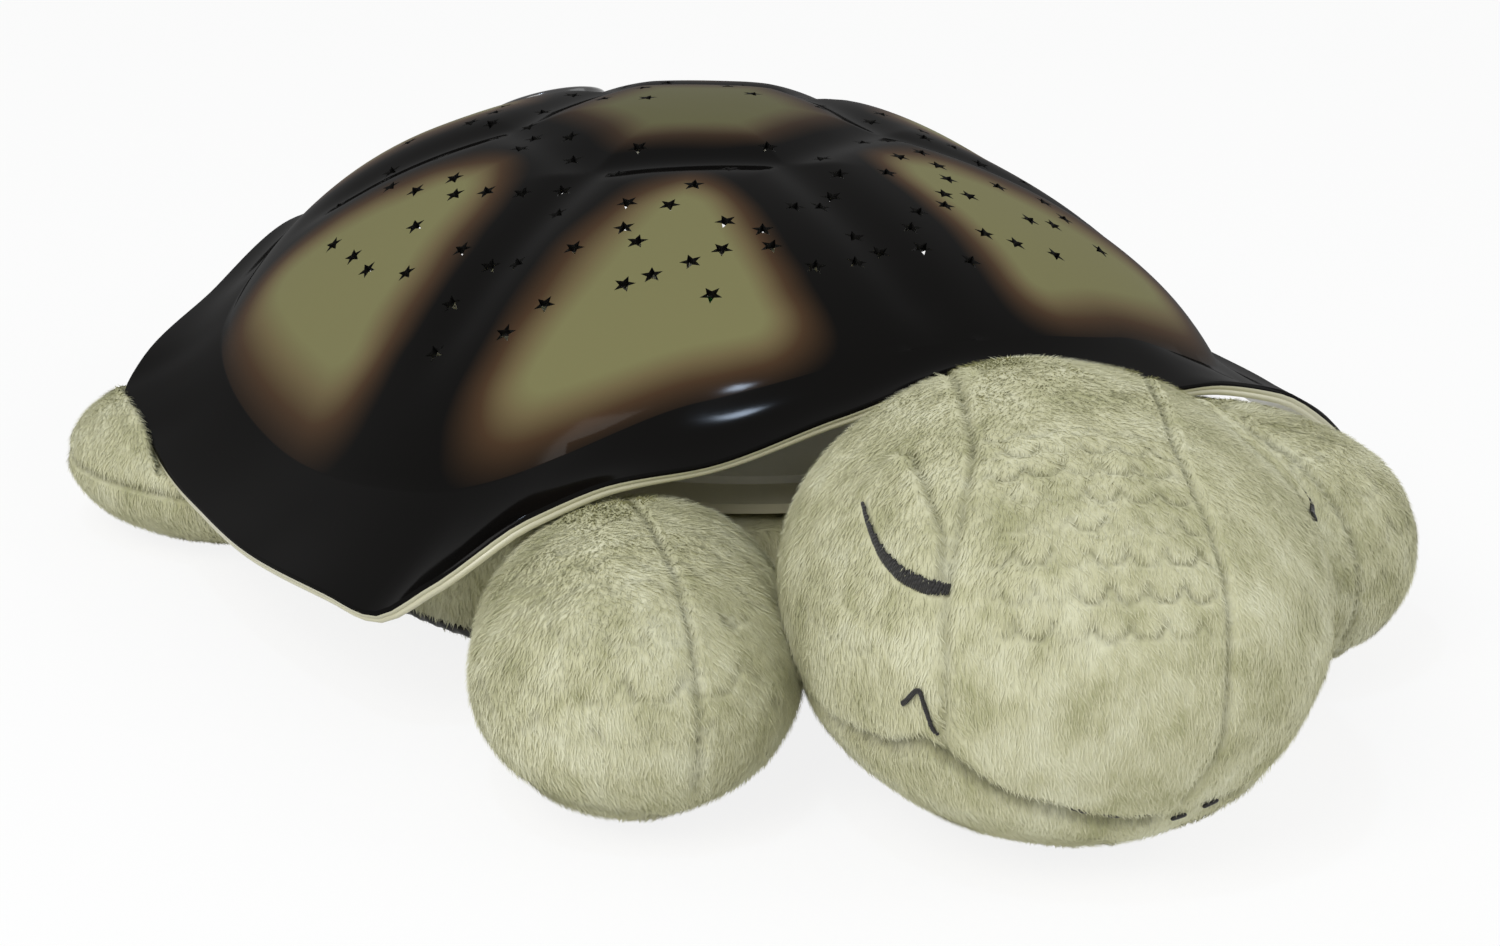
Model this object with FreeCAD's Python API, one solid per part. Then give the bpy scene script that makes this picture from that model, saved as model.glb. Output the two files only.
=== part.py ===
import FreeCAD, Part
import math
import os

# Star night light projector shaped as a plush turtle with a hard domed shell.
# The origin is the centre of the body on the floor, the head points along -Y, +Z is up.
# Angles round the shell are measured from the head, positive towards +X. Sizes are millimetres.

# Star shell: rings of (angle, value), the same on both sides
shell_top = 111.4
cap_radius = 6.0
dome_bulge = 0.926
shell_wall = 2.4
rim_wall = 3.6
rim_radius = [(0, 123), (15, 124), (30, 128), (38, 134), (45, 147), (52, 160), (57, 163), (62, 160), (75, 152),
              (90, 147), (105, 149), (113, 154), (118, 157), (123, 154), (135, 145), (150, 142), (180, 146)]
rim_height = [(0, 84), (15, 76.5), (30, 65.5), (38, 63), (45, 57), (52, 42), (57, 33), (62, 33.5), (75, 31),
              (90, 30), (105, 31), (113, 32), (118, 33), (123, 38), (135, 47), (150, 57), (180, 54)]
crease_radius = [(0, 112), (30, 114), (60, 129), (90, 125), (120, 131), (150, 123), (180, 128)]
crease_height = [(0, 87), (30, 76), (60, 50), (90, 41), (120, 50), (150, 69), (180, 68)]
flange_sag = 1.6
valley_depth = 2.6
valley_width = 8.5
valley_step = 60.0
hexagon_radius = 48.0
hexagon_centre_y = 17.0
valley_fade_start = 96.0
valley_fade_span = 26.0
cap_blend = 12.0
rim_wall_start = 1.4
rim_wall_span = 0.5
dome_rows = 16
half_columns = 48
last_dome_row = 0.975
flange_rows = [1.0, 1.06, 1.25, 1.5, 1.75, 1.9, 2.0]

# Star holes
star_count = 168
star_radius = 2.9
star_waist = 1.25
star_reach_low = 0.16
star_reach_high = 0.80
golden_angle = 137.508
star_wander = 7.0
star_share_wander = 0.02
star_turn_step = 47.0
star_tool_depth = 5.0
star_tool_length = 8.0
stars_per_cut = 16
star_gap = 6.8

# Shell posts and the housing that they stand on
post_place_radius = 96.0
post_radius = 4.0
post_pilot_radius = 1.35
post_pilot_depth = 10.0
post_bite = 0.2
housing_screw_radius = 1.3
screw_head_radius = 2.6
screw_head_height = 1.8
housing_radius = 88.0
housing_wall = 2.2
housing_floor_height = 11.7
flange_height = 44.0
flange_thickness = 2.4
flange_radius = 104.0
column_place_radius = 77.0
column_radius = 4.0

# Button panel on the rear slope of the dome
panel_y = 112.0
panel_z = 82.4
panel_tilt = 33.0
panel_radius = 17.8
panel_proud = 1.6
panel_thickness = 3.0
skirt_wall = 1.7
skirt_depth = 9.0
shell_panel_gap = 0.35
power_button_radius = 4.6
colour_button_radius = 3.4
button_gap = 0.15
button_proud = 1.4
button_travel = 1.2
button_lip = 0.8
button_lip_thickness = 1.2
button_stem_length = 1.0
button_stem_radius = 1.6
switch_width = 5.2
switch_body_height = 2.8
switch_height = 3.6
colour_button_ring = 10.2
power_button_offset = 1.8

# Light deck, boards and lamps
deck_radius = 91.0
deck_thickness = 2.0
standoff_height = 3.0
standoff_radius = 2.4
small_pilot_radius = 1.05
small_screw_radius = 1.0
small_head_radius = 1.7
small_head_height = 1.1
led_board_radius = 15.0
board_thickness = 1.6
led_radius = 2.5
led_height = 5.4
led_ring = 7.0
led_board_inset = 3.5
board_screw_angles = (0, 120, 240)
column_angles = (90, 210, 330)
lead_hole_radius = 3.0
led_lead_y = 12.0
switch_lead_y = 70.0
control_board_length = 46.0
control_board_width = 26.0
control_board_y = 54.0
control_standoff = 4.0

# Battery compartment in the housing floor
cell_radius = 5.15
cell_length = 44.0
cell_pitch = 10.9
spring_radius = 3.0
spring_wire = 0.3
spring_turns = 3
cell_shift = 0.5
cell_tip_radius = 1.9
cell_tip_length = 0.8
plate_thickness = 0.5
tray_length = 66.0
tray_width = 54.0
tray_height = 15.5
tray_wall = 1.6
boss_radius = 3.2
pocket_length = 53.6
pocket_width = 33.6
door_length = 60.0
door_width = 48.0
door_thickness = 2.2
door_gap = 0.3
door_screw_inset = 3.4
door_screw_radius = 1.3
door_screw_head_radius = 2.7
door_screw_head_height = 1.6
door_screw_reach = 2.0

# Plush body and its belly flap
body_radius = 112.0
body_floor_radius = 97.0
body_height = 41.4
belly_thickness = 11.4
piping_offset = 9.6
piping_radius = 1.7
piping_height = 4.6
cavity_gap = 0.4
hatch_length = 70.0
hatch_width = 60.0
flap_length = 88.0
flap_width = 74.0
flap_thickness = 3.0
flap_lift = 0.9
flap_corner = 9.0
flap_gap = 1.0
tape_length = 60.0
tape_width = 5.0
tape_thickness = 0.9
ledge_height = 6.0
seat_flat = 0.5

# Plush head, flippers, feet and tail: centre, half width, half lengths, half height, turn
head_centre = (-7.0, -175.0)
head_half = (61.0, 68.0, 57.0, 50.0)
head_turn = -14.0
flipper_right_centre = (-89.6, -132.9)
flipper_left_centre = (77.5, -124.0)
flipper_half = (38.0, 46.0, 56.0, 31.0)
flipper_turn = 28.0
foot_centre = (120.8, 48.3)
foot_half = (33.8, 41.1, 34.3, 20.1)
foot_turn = 140.4
tail_centre = (0.0, 124.0)
tail_half = (15.0, 30.0, 22.0, 12.0)
neck_half = (34.0, 28.0, 30.0)
neck_centre_y = -108.0
form_power = 2.3
oval_end = 0.84
form_gap = 0.6

clearance = 0.3
touch = 0.05
V = FreeCAD.Vector
Z = V(0, 0, 1)


def ring_value(controls, angle):
    """Smooth periodic value at an angle, from (angle, value) pairs that both sides share."""
    a = abs((angle + 180.0) % 360.0 - 180.0)
    mirrored = [(-x, y) for x, y in controls[:0:-1]] + list(controls)
    mirrored = mirrored + [(360.0 - x, y) for x, y in controls[-2::-1]]
    i = max(k for k in range(len(mirrored) - 1) if mirrored[k][0] <= a)
    i = min(max(i, 1), len(mirrored) - 3)
    (x0, y0), (x1, y1), (x2, y2), (x3, y3) = mirrored[i - 1:i + 3]
    m1 = hermite_slope((y1 - y0) / (x1 - x0), (y2 - y1) / (x2 - x1))
    m2 = hermite_slope((y2 - y1) / (x2 - x1), (y3 - y2) / (x3 - x2))
    h = x2 - x1
    t = (a - x1) / h
    rise = y1 * (1 + 2 * t) * (1 - t) ** 2 + y2 * t * t * (3 - 2 * t)
    return rise + h * m1 * t * (1 - t) ** 2 - h * m2 * t * t * (1 - t)


def hermite_slope(before, after):
    """Slope at a control point that never overshoots its neighbours."""
    if before * after <= 0:
        return 0.0
    return 2 * before * after / (before + after)


def direction(angle):
    """Unit vector in plan at an angle from the head."""
    return V(math.sin(math.radians(angle)), -math.cos(math.radians(angle)), 0)


def smooth(t):
    """Ease from 0 to 1."""
    t = min(max(t, 0.0), 1.0)
    return t * t * (3 - 2 * t)


def valley(angle, radius):
    """Depth of the grooves: six spokes outside the top hexagon, and its six sides."""
    place = direction(angle) * radius - V(0, hexagon_centre_y, 0)
    turn = math.degrees(math.atan2(place.x, -place.y))
    reach = math.hypot(place.x, place.y)
    spoke = math.radians(abs((turn + valley_step / 2) % valley_step - valley_step / 2))
    half = math.radians(valley_step / 2)
    across = reach * math.cos(half - spoke)
    side = abs(across - hexagon_radius * math.cos(half))
    if across > hexagon_radius * math.cos(half):
        side = min(side, reach * math.sin(spoke))
    fade = 1 - smooth((radius - valley_fade_start) / valley_fade_span)
    return valley_depth * fade * math.exp(-((side / valley_width) ** 2))


def dome_point(angle, share):
    """Point on the outside of the dome; share runs from 0 at the top to 1 at the crease."""
    radius = ring_value(crease_radius, angle) * share
    foot = ring_value(crease_height, angle)
    flat = math.sqrt(1 - dome_bulge ** 2)
    rise = (math.sqrt(1 - (dome_bulge * share) ** 2) - flat) / (1 - flat)
    height = foot + (shell_top - foot) * rise
    sink = valley(angle, radius) * smooth((radius - cap_radius) / cap_blend)
    return direction(angle) * radius + V(0, 0, height - sink)


def flange_point(angle, share):
    """Point on the outside of the flange; share runs from 0 at the crease to 1 at the rim."""
    radius = ring_value(crease_radius, angle) * (1 - share) + ring_value(rim_radius, angle) * share
    height = ring_value(crease_height, angle) * (1 - share) + ring_value(rim_height, angle) * share
    return direction(angle) * radius + V(0, 0, height - flange_sag * math.sin(math.pi * share))


def outer_point(angle, row):
    """Outer surface of the shell; row runs 0 to 1 over the dome and 1 to 2 over the flange."""
    if row <= 1:
        return dome_point(angle, row)
    return flange_point(angle, row - 1)


def outer_normal(angle, row):
    """Outward unit normal of the shell's outer surface."""
    step = 0.02
    low = max(row - step, 0.01)
    high = min(row + step, 2.0)
    along = outer_point(angle, high) - outer_point(angle, low)
    across = outer_point(angle + 0.5, row) - outer_point(angle - 0.5, row)
    normal = across.cross(along)
    normal.normalize()
    if normal.z < 0:
        normal = normal * -1
    return normal


def inner_point(angle, row):
    """Inner surface of the shell, the wall below the outer one."""
    wall = shell_wall + (rim_wall - shell_wall) * smooth((row - rim_wall_start) / rim_wall_span)
    return outer_point(angle, row) - outer_normal(angle, row) * wall


def shell_rows(angle):
    """Rows of the shell's grid from the flat cap to the rim."""
    first = cap_radius / ring_value(crease_radius, angle)
    dome = [first + (last_dome_row - first) * k / (dome_rows - 1) for k in range(dome_rows)]
    return dome + flange_rows


def shell_surface(point, drop):
    """One half of a shell surface, from the head to the tail, through its grid of points."""
    grid = []
    for column in range(half_columns + 1):
        angle = 180.0 * column / half_columns
        line = [point(angle, row) for row in shell_rows(angle)]
        start = direction(angle) * cap_radius
        line[0] = V(start.x, start.y, shell_top - drop)
        if column in (0, half_columns):
            line = [V(0, p.y, p.z) for p in line]
        grid.append(line)
    surface = Part.BSplineSurface()
    surface.interpolate(grid)
    return surface.toShape()


def pick_edge(face, test):
    """The one edge of a face whose middle passes a test."""
    return [e for e in face.Edges if test(e.valueAt((e.FirstParameter + e.LastParameter) / 2))][0]


def mirrored(shape):
    """The same shape on the other side of the spine."""
    return shape.mirror(V(0, 0, 0), V(1, 0, 0))


def shell_blank():
    """The shell's closed skin: outside, inside, rim edge and the small flat cap."""
    outer = shell_surface(outer_point, 0.0)
    inner = shell_surface(inner_point, shell_wall)
    near_cap = lambda p: math.hypot(p.x, p.y) < cap_radius + 1
    near_rim = lambda p: p.x > 100
    band = Part.makeRuledSurface(pick_edge(outer, near_rim), pick_edge(inner, near_rim))
    caps = []
    for face in (outer, inner):
        edge = pick_edge(face, near_cap)
        caps.append(Part.Face(Part.Wire([edge, mirrored(edge)])))
    half = [outer, inner, band]
    faces = half + [mirrored(f) for f in half] + caps
    skin = Part.makeShell([f for s in faces for f in s.Faces])
    skin.sewShape()
    solid = Part.Solid(skin)
    if solid.Volume < 0:
        solid.reverse()
    return solid


def star_places():
    """Angle and share of each star hole, spread evenly with a steady wander."""
    places = []
    for k in range(star_count):
        share = star_reach_low + (star_reach_high - star_reach_low) * math.sqrt((k + 0.5) / star_count)
        angle = k * golden_angle + star_wander * math.sin(k * 12.9898)
        places.append((angle, share + star_share_wander * math.sin(k * 78.233)))
    return places


def star_tool(angle, share, turn):
    """A five-pointed prism that stands square through the dome's wall."""
    normal = outer_normal(angle, share)
    middle = outer_point(angle, share)
    side = normal.cross(Z)
    side.normalize()
    up = side.cross(normal)
    points = []
    for k in range(10):
        radius = star_waist if k % 2 else star_radius
        a = math.radians(turn + 36 * k)
        corner = side * (radius * math.cos(a)) + up * (radius * math.sin(a))
        points.append(middle - normal * star_tool_depth + corner)
    outline = Part.makePolygon(points + [points[0]])
    return Part.Face(outline).extrude(normal * star_tool_length)


def near_panel(angle, share):
    """Whether a star would meet the button panel."""
    point = outer_point(angle, share)
    return (point - panel_point(0, 0, 0)).Length < panel_radius + 5


def near_post(angle, share):
    """Whether a star would meet a post under the shell."""
    point = outer_point(angle, share)
    gaps = [math.hypot(point.x - p.x, point.y - p.y) for p in post_places()]
    return min(gaps) < post_radius + star_radius + 1


def star_tools():
    """All the star prisms that are clear of the panel, the posts and each other."""
    tools = []
    middles = []
    for k, (angle, share) in enumerate(star_places()):
        middle = outer_point(angle, share)
        crowded = any((middle - other).Length < star_gap for other in middles)
        if crowded or near_panel(angle, share) or near_post(angle, share):
            continue
        middles.append(middle)
        tools.append(star_tool(angle, share, star_turn_step * k))
    return tools


def panel_axis():
    """Unit vector out of the button panel."""
    return V(0, math.sin(math.radians(panel_tilt)), math.cos(math.radians(panel_tilt)))


def panel_point(across, up, out):
    """Point in the button panel's own frame: across along +X, up the slope, and out of it."""
    rise = V(0, -math.cos(math.radians(panel_tilt)), math.sin(math.radians(panel_tilt)))
    return V(0, panel_y, panel_z) + V(across, 0, 0) + rise * up + panel_axis() * out


def panel_cylinder(radius, low, high, across=0.0, up=0.0):
    """Cylinder along the button panel's axis."""
    return Part.makeCylinder(radius, high - low, panel_point(across, up, low), panel_axis())


def post_places():
    """Plan centres of the four posts under the shell."""
    return [direction(a) * post_place_radius for a in (45, 135, 225, 315)]


def outer_height(place):
    """Height of the dome's outside above a plan point, found by halving."""
    angle = math.degrees(math.atan2(place.x, -place.y))
    share = math.hypot(place.x, place.y) / ring_value(crease_radius, angle)
    return outer_point(angle, share).z


def shell_post(place):
    """Round post from the housing flange into the dome's wall."""
    low = flange_height + flange_thickness
    high = outer_height(place) - shell_wall + post_bite
    return Part.makeCylinder(post_radius, high - low, V(place.x, place.y, low))


def star_shell(blank):
    """The hard domed shell with its posts, star holes and the panel's opening."""
    shell = blank.fuse([shell_post(p) for p in post_places()])
    pilots = []
    for p in post_places():
        low = flange_height + flange_thickness
        foot = V(p.x, p.y, low - 1)
        pilots.append(Part.makeCylinder(post_pilot_radius, post_pilot_depth + 1, foot))
    opening = panel_cylinder(panel_radius + shell_panel_gap, -12, 14)
    shell = shell.cut(pilots + [opening])
    stars = star_tools()
    for k in range(0, len(stars), stars_per_cut):
        shell = shell.cut(stars[k:k + stars_per_cut])
    return largest(shell)


def base_housing():
    """Round plastic pan with a flange for the posts and an opening in its floor for the door."""
    low = housing_floor_height
    top = flange_height + flange_thickness
    pan = Part.makeCylinder(housing_radius, top - low, V(0, 0, low))
    pan = pan.cut(Part.makeCylinder(housing_radius - housing_wall, top, V(0, 0, low + housing_wall)))
    flange = Part.makeCylinder(flange_radius, flange_thickness, V(0, 0, flange_height))
    flange = flange.cut(Part.makeCylinder(housing_radius - housing_wall, top, V(0, 0, 0)))
    parts = []
    for angle in column_angles:
        p = direction(angle) * column_place_radius
        parts.append(Part.makeCylinder(column_radius, top - low - 1, V(p.x, p.y, low + 1)))
    for x, y in control_corners():
        height = housing_wall + control_standoff - 1
        parts.append(Part.makeCylinder(standoff_radius, height, V(x, y, low + 1)))
    pan = pan.fuse([flange] + parts)
    holes = [Part.makeCylinder(housing_screw_radius + touch, 10, V(p.x, p.y, flange_height - 2))
             for p in post_places()]
    for angle in column_angles:
        p = direction(angle) * column_place_radius
        holes.append(Part.makeCylinder(housing_screw_radius + touch, 12, V(p.x, p.y, top - 9)))
    for x, y in control_corners():
        holes.append(Part.makeCylinder(small_pilot_radius, 8, V(x, y, low + housing_wall)))
    opening_x = door_length + 2 * door_gap
    opening_y = door_width + 2 * door_gap
    holes.append(Part.makeBox(opening_x, opening_y, 3, V(-opening_x / 2, -opening_y / 2, low - 0.4)))
    return pan.cut(holes)


def pan_screw(radius, head_radius, length, head_height, place, up):
    """Pan-head screw with a cross recess; its head seats at the place and its shank runs up or down."""
    sign = 1 if up else -1
    shank = Part.makeCylinder(radius, length + 0.2, place - Z * (0.2 * sign), Z * sign)
    head = Part.makeCylinder(head_radius, head_height, place, Z * -sign)
    rim = [e for e in head.Edges if abs(e.CenterOfMass.z - (place.z - sign * head_height)) < 0.01]
    head = head.makeFillet(head_height * 0.5, [e for e in rim if len(e.Vertexes) == 1][:1])
    screw = head.fuse(shank)
    slot = head_radius * 1.1
    base = place - Z * (sign * head_height)
    low = min(base.z, base.z + sign * head_height * 0.5) - 0.01
    for wide, deep in ((slot, 0.7), (0.7, slot)):
        corner = V(place.x - wide / 2, place.y - deep / 2, low)
        screw = screw.cut(Part.makeBox(wide, deep, head_height * 0.5 + 0.01, corner))
    return screw


def group(solids):
    """Several separate solids under one name."""
    return Part.makeCompound(solids)


def housing_screws():
    """Four screws that pull the shell's posts onto the housing flange."""
    solids = []
    for p in post_places():
        seat = V(p.x, p.y, flange_height)
        solids.append(pan_screw(housing_screw_radius, screw_head_radius, 10.0, screw_head_height, seat, True))
    return group(solids)


def light_deck():
    """White disc over the housing that throws the lamps' light up, with standoffs for their board."""
    low = flange_height + flange_thickness
    deck = Part.makeCylinder(deck_radius, deck_thickness, V(0, 0, low))
    pegs = []
    holes = []
    for angle in board_screw_angles:
        p = direction(angle) * (led_board_radius - led_board_inset)
        holes.append(Part.makeCylinder(small_pilot_radius, 6, V(p.x, p.y, low + 1)))
        pegs.append(Part.makeCylinder(2.0, standoff_height + 0.5, V(p.x, p.y, low + deck_thickness - 0.5)))
    deck = deck.fuse(pegs)
    for angle in column_angles:
        p = direction(angle) * column_place_radius
        holes.append(Part.makeCylinder(housing_screw_radius + touch, 4, V(p.x, p.y, low - 1)))
    for p in post_places():
        holes.append(Part.makeCylinder(post_radius + clearance, 4, V(p.x, p.y, low - 1)))
    for y in (led_lead_y, switch_lead_y):
        holes.append(Part.makeCylinder(lead_hole_radius, 4, V(0, y, low - 1)))
    return deck.cut(holes)


def deck_screws():
    """Three screws that hold the light deck to the housing's columns."""
    solids = []
    for angle in column_angles:
        seat = direction(angle) * column_place_radius + Z * deck_top()
        solids.append(pan_screw(housing_screw_radius, screw_head_radius, 8.0, screw_head_height, seat, False))
    return group(solids)


def deck_top():
    """Height of the deck's upper face."""
    return flange_height + flange_thickness + deck_thickness


def led_board():
    """Round board for the three lamps."""
    low = deck_top() + standoff_height
    board = Part.makeCylinder(led_board_radius, board_thickness, V(0, 0, low))
    holes = []
    for angle in board_screw_angles:
        p = direction(angle) * (led_board_radius - led_board_inset)
        holes.append(Part.makeCylinder(small_pilot_radius, 3, V(p.x, p.y, low - 1)))
    return board.cut(holes)


def led_board_screws():
    """Three small screws through the lamps' board."""
    top = deck_top() + standoff_height + board_thickness
    solids = []
    for angle in board_screw_angles:
        seat = direction(angle) * (led_board_radius - led_board_inset) + Z * top
        solids.append(pan_screw(small_screw_radius, small_head_radius, 4.5, small_head_height, seat, False))
    return group(solids)


def led_lamp(angle):
    """Round-headed lamp with its base ring, standing on the board."""
    p = direction(angle) * led_ring
    low = deck_top() + standoff_height + board_thickness
    tube = Part.makeCylinder(led_radius, led_height, V(p.x, p.y, low))
    base = Part.makeCylinder(led_radius + 0.4, 1.0, V(p.x, p.y, low))
    return tube.fuse([base, Part.makeSphere(led_radius, V(p.x, p.y, low + led_height))])


def control_corners():
    """Plan centres of the control board's standoffs."""
    x = control_board_length / 2 - 3
    y = control_board_width / 2 - 3
    return [(sx * x, control_board_y + sy * y) for sx in (-1, 1) for sy in (-1, 1)]


def control_board_low():
    """Height of the control board's underside."""
    return housing_floor_height + housing_wall + control_standoff


def control_board():
    """Board with the timer circuit on the housing floor."""
    low = control_board_low()
    corner = V(-control_board_length / 2, control_board_y - control_board_width / 2, low)
    board = Part.makeBox(control_board_length, control_board_width, board_thickness, corner)
    holes = []
    for x, y in control_corners():
        holes.append(Part.makeCylinder(small_pilot_radius, 4, V(x, y, low - 1)))
    return board.cut(holes)


def control_board_screws():
    """Four small screws for the control board."""
    top = control_board_low() + board_thickness
    solids = []
    for x, y in control_corners():
        seat = V(x, y, top)
        solids.append(pan_screw(small_screw_radius, small_head_radius, 5.0, small_head_height, seat, False))
    return group(solids)


def timer_chip():
    """The controller chip with its two rows of legs."""
    low = control_board_low() + board_thickness
    body = Part.makeBox(10, 6, 1.6, V(-5, control_board_y - 3, low + 0.3))
    legs = []
    for k in range(8):
        for y in (-4.0, 2.8):
            legs.append(Part.makeBox(0.5, 1.2, 0.9, V(-4.6 + k * 1.24, control_board_y + y, low)))
    return body.fuse(legs)


def tray_low():
    """Height of the battery tray's foot."""
    return housing_floor_height + housing_wall


def battery_tray():
    """Box over the door opening with a pocket for three cells and a boss for the door screw."""
    low = tray_low()
    wall = tray_wall
    tray = Part.makeBox(tray_length, tray_width, tray_height, V(-tray_length / 2, -tray_width / 2, low))
    long_pocket = Part.makeBox(pocket_length, pocket_width, tray_height - wall,
                               V(-pocket_length / 2, -pocket_width / 2, low))
    side = (tray_width - pocket_width) / 2 - 2 * wall
    pockets = [long_pocket]
    for y in (-tray_width / 2 + wall, pocket_width / 2 + wall):
        pockets.append(Part.makeBox(tray_length - 2 * wall, side, tray_height - wall,
                                    V(-tray_length / 2 + wall, y, low)))
    end = (tray_length - pocket_length) / 2 - 2 * wall
    for x in (-tray_length / 2 + wall, pocket_length / 2 + wall):
        pockets.append(Part.makeBox(end, pocket_width, tray_height - wall, V(x, -pocket_width / 2, low)))
    tray = tray.cut(pockets)
    boss_y = door_screw_place().y
    boss = Part.makeCylinder(boss_radius, tray_height - 0.5, V(0, boss_y, low + 0.02))
    tray = tray.fuse(boss)
    return tray.cut(Part.makeCylinder(door_screw_radius + 0.35, 6, V(0, boss_y, low - 1)))


def cell_places():
    """Y of each cell's axis."""
    return [-cell_pitch, 0.0, cell_pitch]


def cell_height():
    """Height of the cells' axes."""
    return tray_low() + cell_radius + 1.0


def cells():
    """Three AAA cells side by side, every second one turned round."""
    solids = []
    for k, y in enumerate(cell_places()):
        way = 1 if k % 2 == 0 else -1
        start = V(-way * (cell_length / 2 + cell_shift), y, cell_height())
        along = V(way, 0, 0)
        can = Part.makeCylinder(cell_radius, cell_length - cell_tip_length, start, along)
        tip_start = start + along * (cell_length - cell_tip_length)
        tip = Part.makeCylinder(cell_tip_radius, cell_tip_length, tip_start, along)
        solids.append(can.fuse(tip))
    return group(solids)


def coil_point(length, share):
    """Point on a spring's coil, which runs along +Z."""
    turn = 2 * math.pi * spring_turns * share
    return V(spring_radius * math.cos(turn), spring_radius * math.sin(turn), length * share)


def spring_coil(length):
    """Round-wire coil along +Z, swept along quarter-turn arcs."""
    quarters = 4 * spring_turns
    edges = []
    for k in range(quarters):
        points = [coil_point(length, (k + part) / quarters) for part in (0.0, 0.5, 1.0)]
        edges.append(Part.Arc(points[0], points[1], points[2]).toShape())
    heading = edges[0].tangentAt(edges[0].FirstParameter)
    section = Part.Wire(Part.makeCircle(spring_wire, coil_point(length, 0.0), heading))
    return Part.Wire(edges).makePipeShell([section], True, False)


def battery_springs():
    """A coiled contact spring at the flat end of each cell."""
    solids = []
    wall = pocket_length / 2 - plate_thickness - touch
    for k, y in enumerate(cell_places()):
        way = 1 if k % 2 == 0 else -1
        start = wall - spring_wire - touch
        length = start - (cell_length / 2 + cell_shift) - spring_wire - touch
        spring = spring_coil(length)
        spring.rotate(V(0, 0, 0), V(0, 1, 0), 90 * way)
        spring.translate(V(-way * start, y, cell_height()))
        solids.append(spring)
    return group(solids)


def contact_plates():
    """Six thin plates against the ends of the pocket."""
    solids = []
    for y in cell_places():
        for side in (-1, 1):
            x = side * (pocket_length / 2 - plate_thickness / 2) - plate_thickness / 2
            solids.append(Part.makeBox(plate_thickness, 9.0, 9.4, V(x, y - 4.5, cell_height() - 4.7)))
    return group(solids)


def door_screw_place():
    """Where the door screw's head seats, under the door's front edge."""
    return V(0, -door_width / 2 + door_screw_inset, housing_floor_height)


def battery_door():
    """Flat door in the housing floor, hinged at its round rear edge and held by one screw."""
    half = door_thickness / 2
    corner = V(-door_length / 2, -door_width / 2, housing_floor_height)
    door = Part.makeBox(door_length, door_width - half, door_thickness, corner)
    knuckle = V(-door_length / 2, door_width / 2 - half, housing_floor_height + half)
    door = door.fuse(Part.makeCylinder(half, door_length, knuckle, V(1, 0, 0)))
    ribs = []
    for k in range(5):
        ribs.append(Part.makeBox(24, 1.2, 0.5, V(-12, 4 + 2.6 * k, housing_floor_height - 0.01)))
    door = door.cut(ribs)
    p = door_screw_place()
    return door.cut(Part.makeCylinder(door_screw_radius + 0.08, 4, V(p.x, p.y, p.z - 1)))


def door_screw():
    """Short captive screw of the battery door."""
    p = door_screw_place()
    length = door_thickness + door_screw_reach
    return pan_screw(door_screw_radius, door_screw_head_radius, length, door_screw_head_height, p, True)


def button_bezel():
    """Round panel in the shell with a skirt behind it and bores for the four buttons."""
    low = panel_proud - panel_thickness
    plate = panel_cylinder(panel_radius, low, panel_proud)
    edge = [e for e in plate.Edges if (e.CenterOfMass - panel_point(0, 0, panel_proud)).Length < 0.1]
    plate = plate.makeFillet(0.9, edge)
    skirt = panel_cylinder(panel_radius, low - skirt_depth, low + 0.1)
    skirt = skirt.cut(panel_cylinder(panel_radius - skirt_wall, low - skirt_depth - 1, low))
    bezel = plate.fuse(skirt)
    bores = [panel_cylinder(radius + button_gap, -12, 12, across, up)
             for name, radius, across, up in button_layout()]
    return bezel.cut(bores)


def button_layout():
    """Name, radius and place of each button: power in the middle, three colours below it."""
    rows = [("power_button", power_button_radius, 0.0, power_button_offset)]
    for name, angle in (("blue_button", -52), ("green_button", 0), ("amber_button", 52)):
        across = colour_button_ring * math.sin(math.radians(angle))
        up = -colour_button_ring * math.cos(math.radians(angle))
        rows.append((name, colour_button_radius, across, up + 0.4))
    return rows


def push_button(radius, across, up):
    """Domed cap with a lip behind the panel that keeps it in."""
    low = panel_proud - panel_thickness
    cap = panel_cylinder(radius, low - 1, panel_proud + button_proud, across, up)
    top_middle = panel_point(across, up, panel_proud + button_proud)
    crown = [e for e in cap.Edges if (e.CenterOfMass - top_middle).Length < 0.1]
    cap = cap.makeFillet(0.7, crown)
    top = low - touch
    lip = panel_cylinder(radius + button_lip, top - button_lip_thickness, top, across, up)
    stem_low = top - button_lip_thickness - button_stem_length
    stem = panel_cylinder(button_stem_radius, stem_low, top - 0.2, across, up)
    return cap.fuse([lip, stem])


def switch_board_top():
    """Distance out of the panel of the switch board's upper face."""
    low = panel_proud - panel_thickness
    stem_end = low - touch - button_lip_thickness - button_stem_length
    return stem_end - button_travel - button_gap - switch_height


def switch_board():
    """Round board behind the buttons."""
    top = switch_board_top()
    return panel_cylinder(panel_radius - skirt_wall - clearance, top - board_thickness, top)


def tact_switches():
    """A small square switch behind each button."""
    solids = []
    top = switch_board_top()
    half = switch_width / 2
    for name, radius, across, up in button_layout():
        base = Part.makeBox(switch_width, switch_width, switch_body_height, V(-half, -half, 0))
        switch = base.fuse(Part.makeCylinder(1.2, switch_height, V(0, 0, 0)))
        switch.rotate(V(0, 0, 0), V(1, 0, 0), -panel_tilt)
        switch.translate(panel_point(across, up, top))
        solids.append(switch)
    return group(solids)


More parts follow.
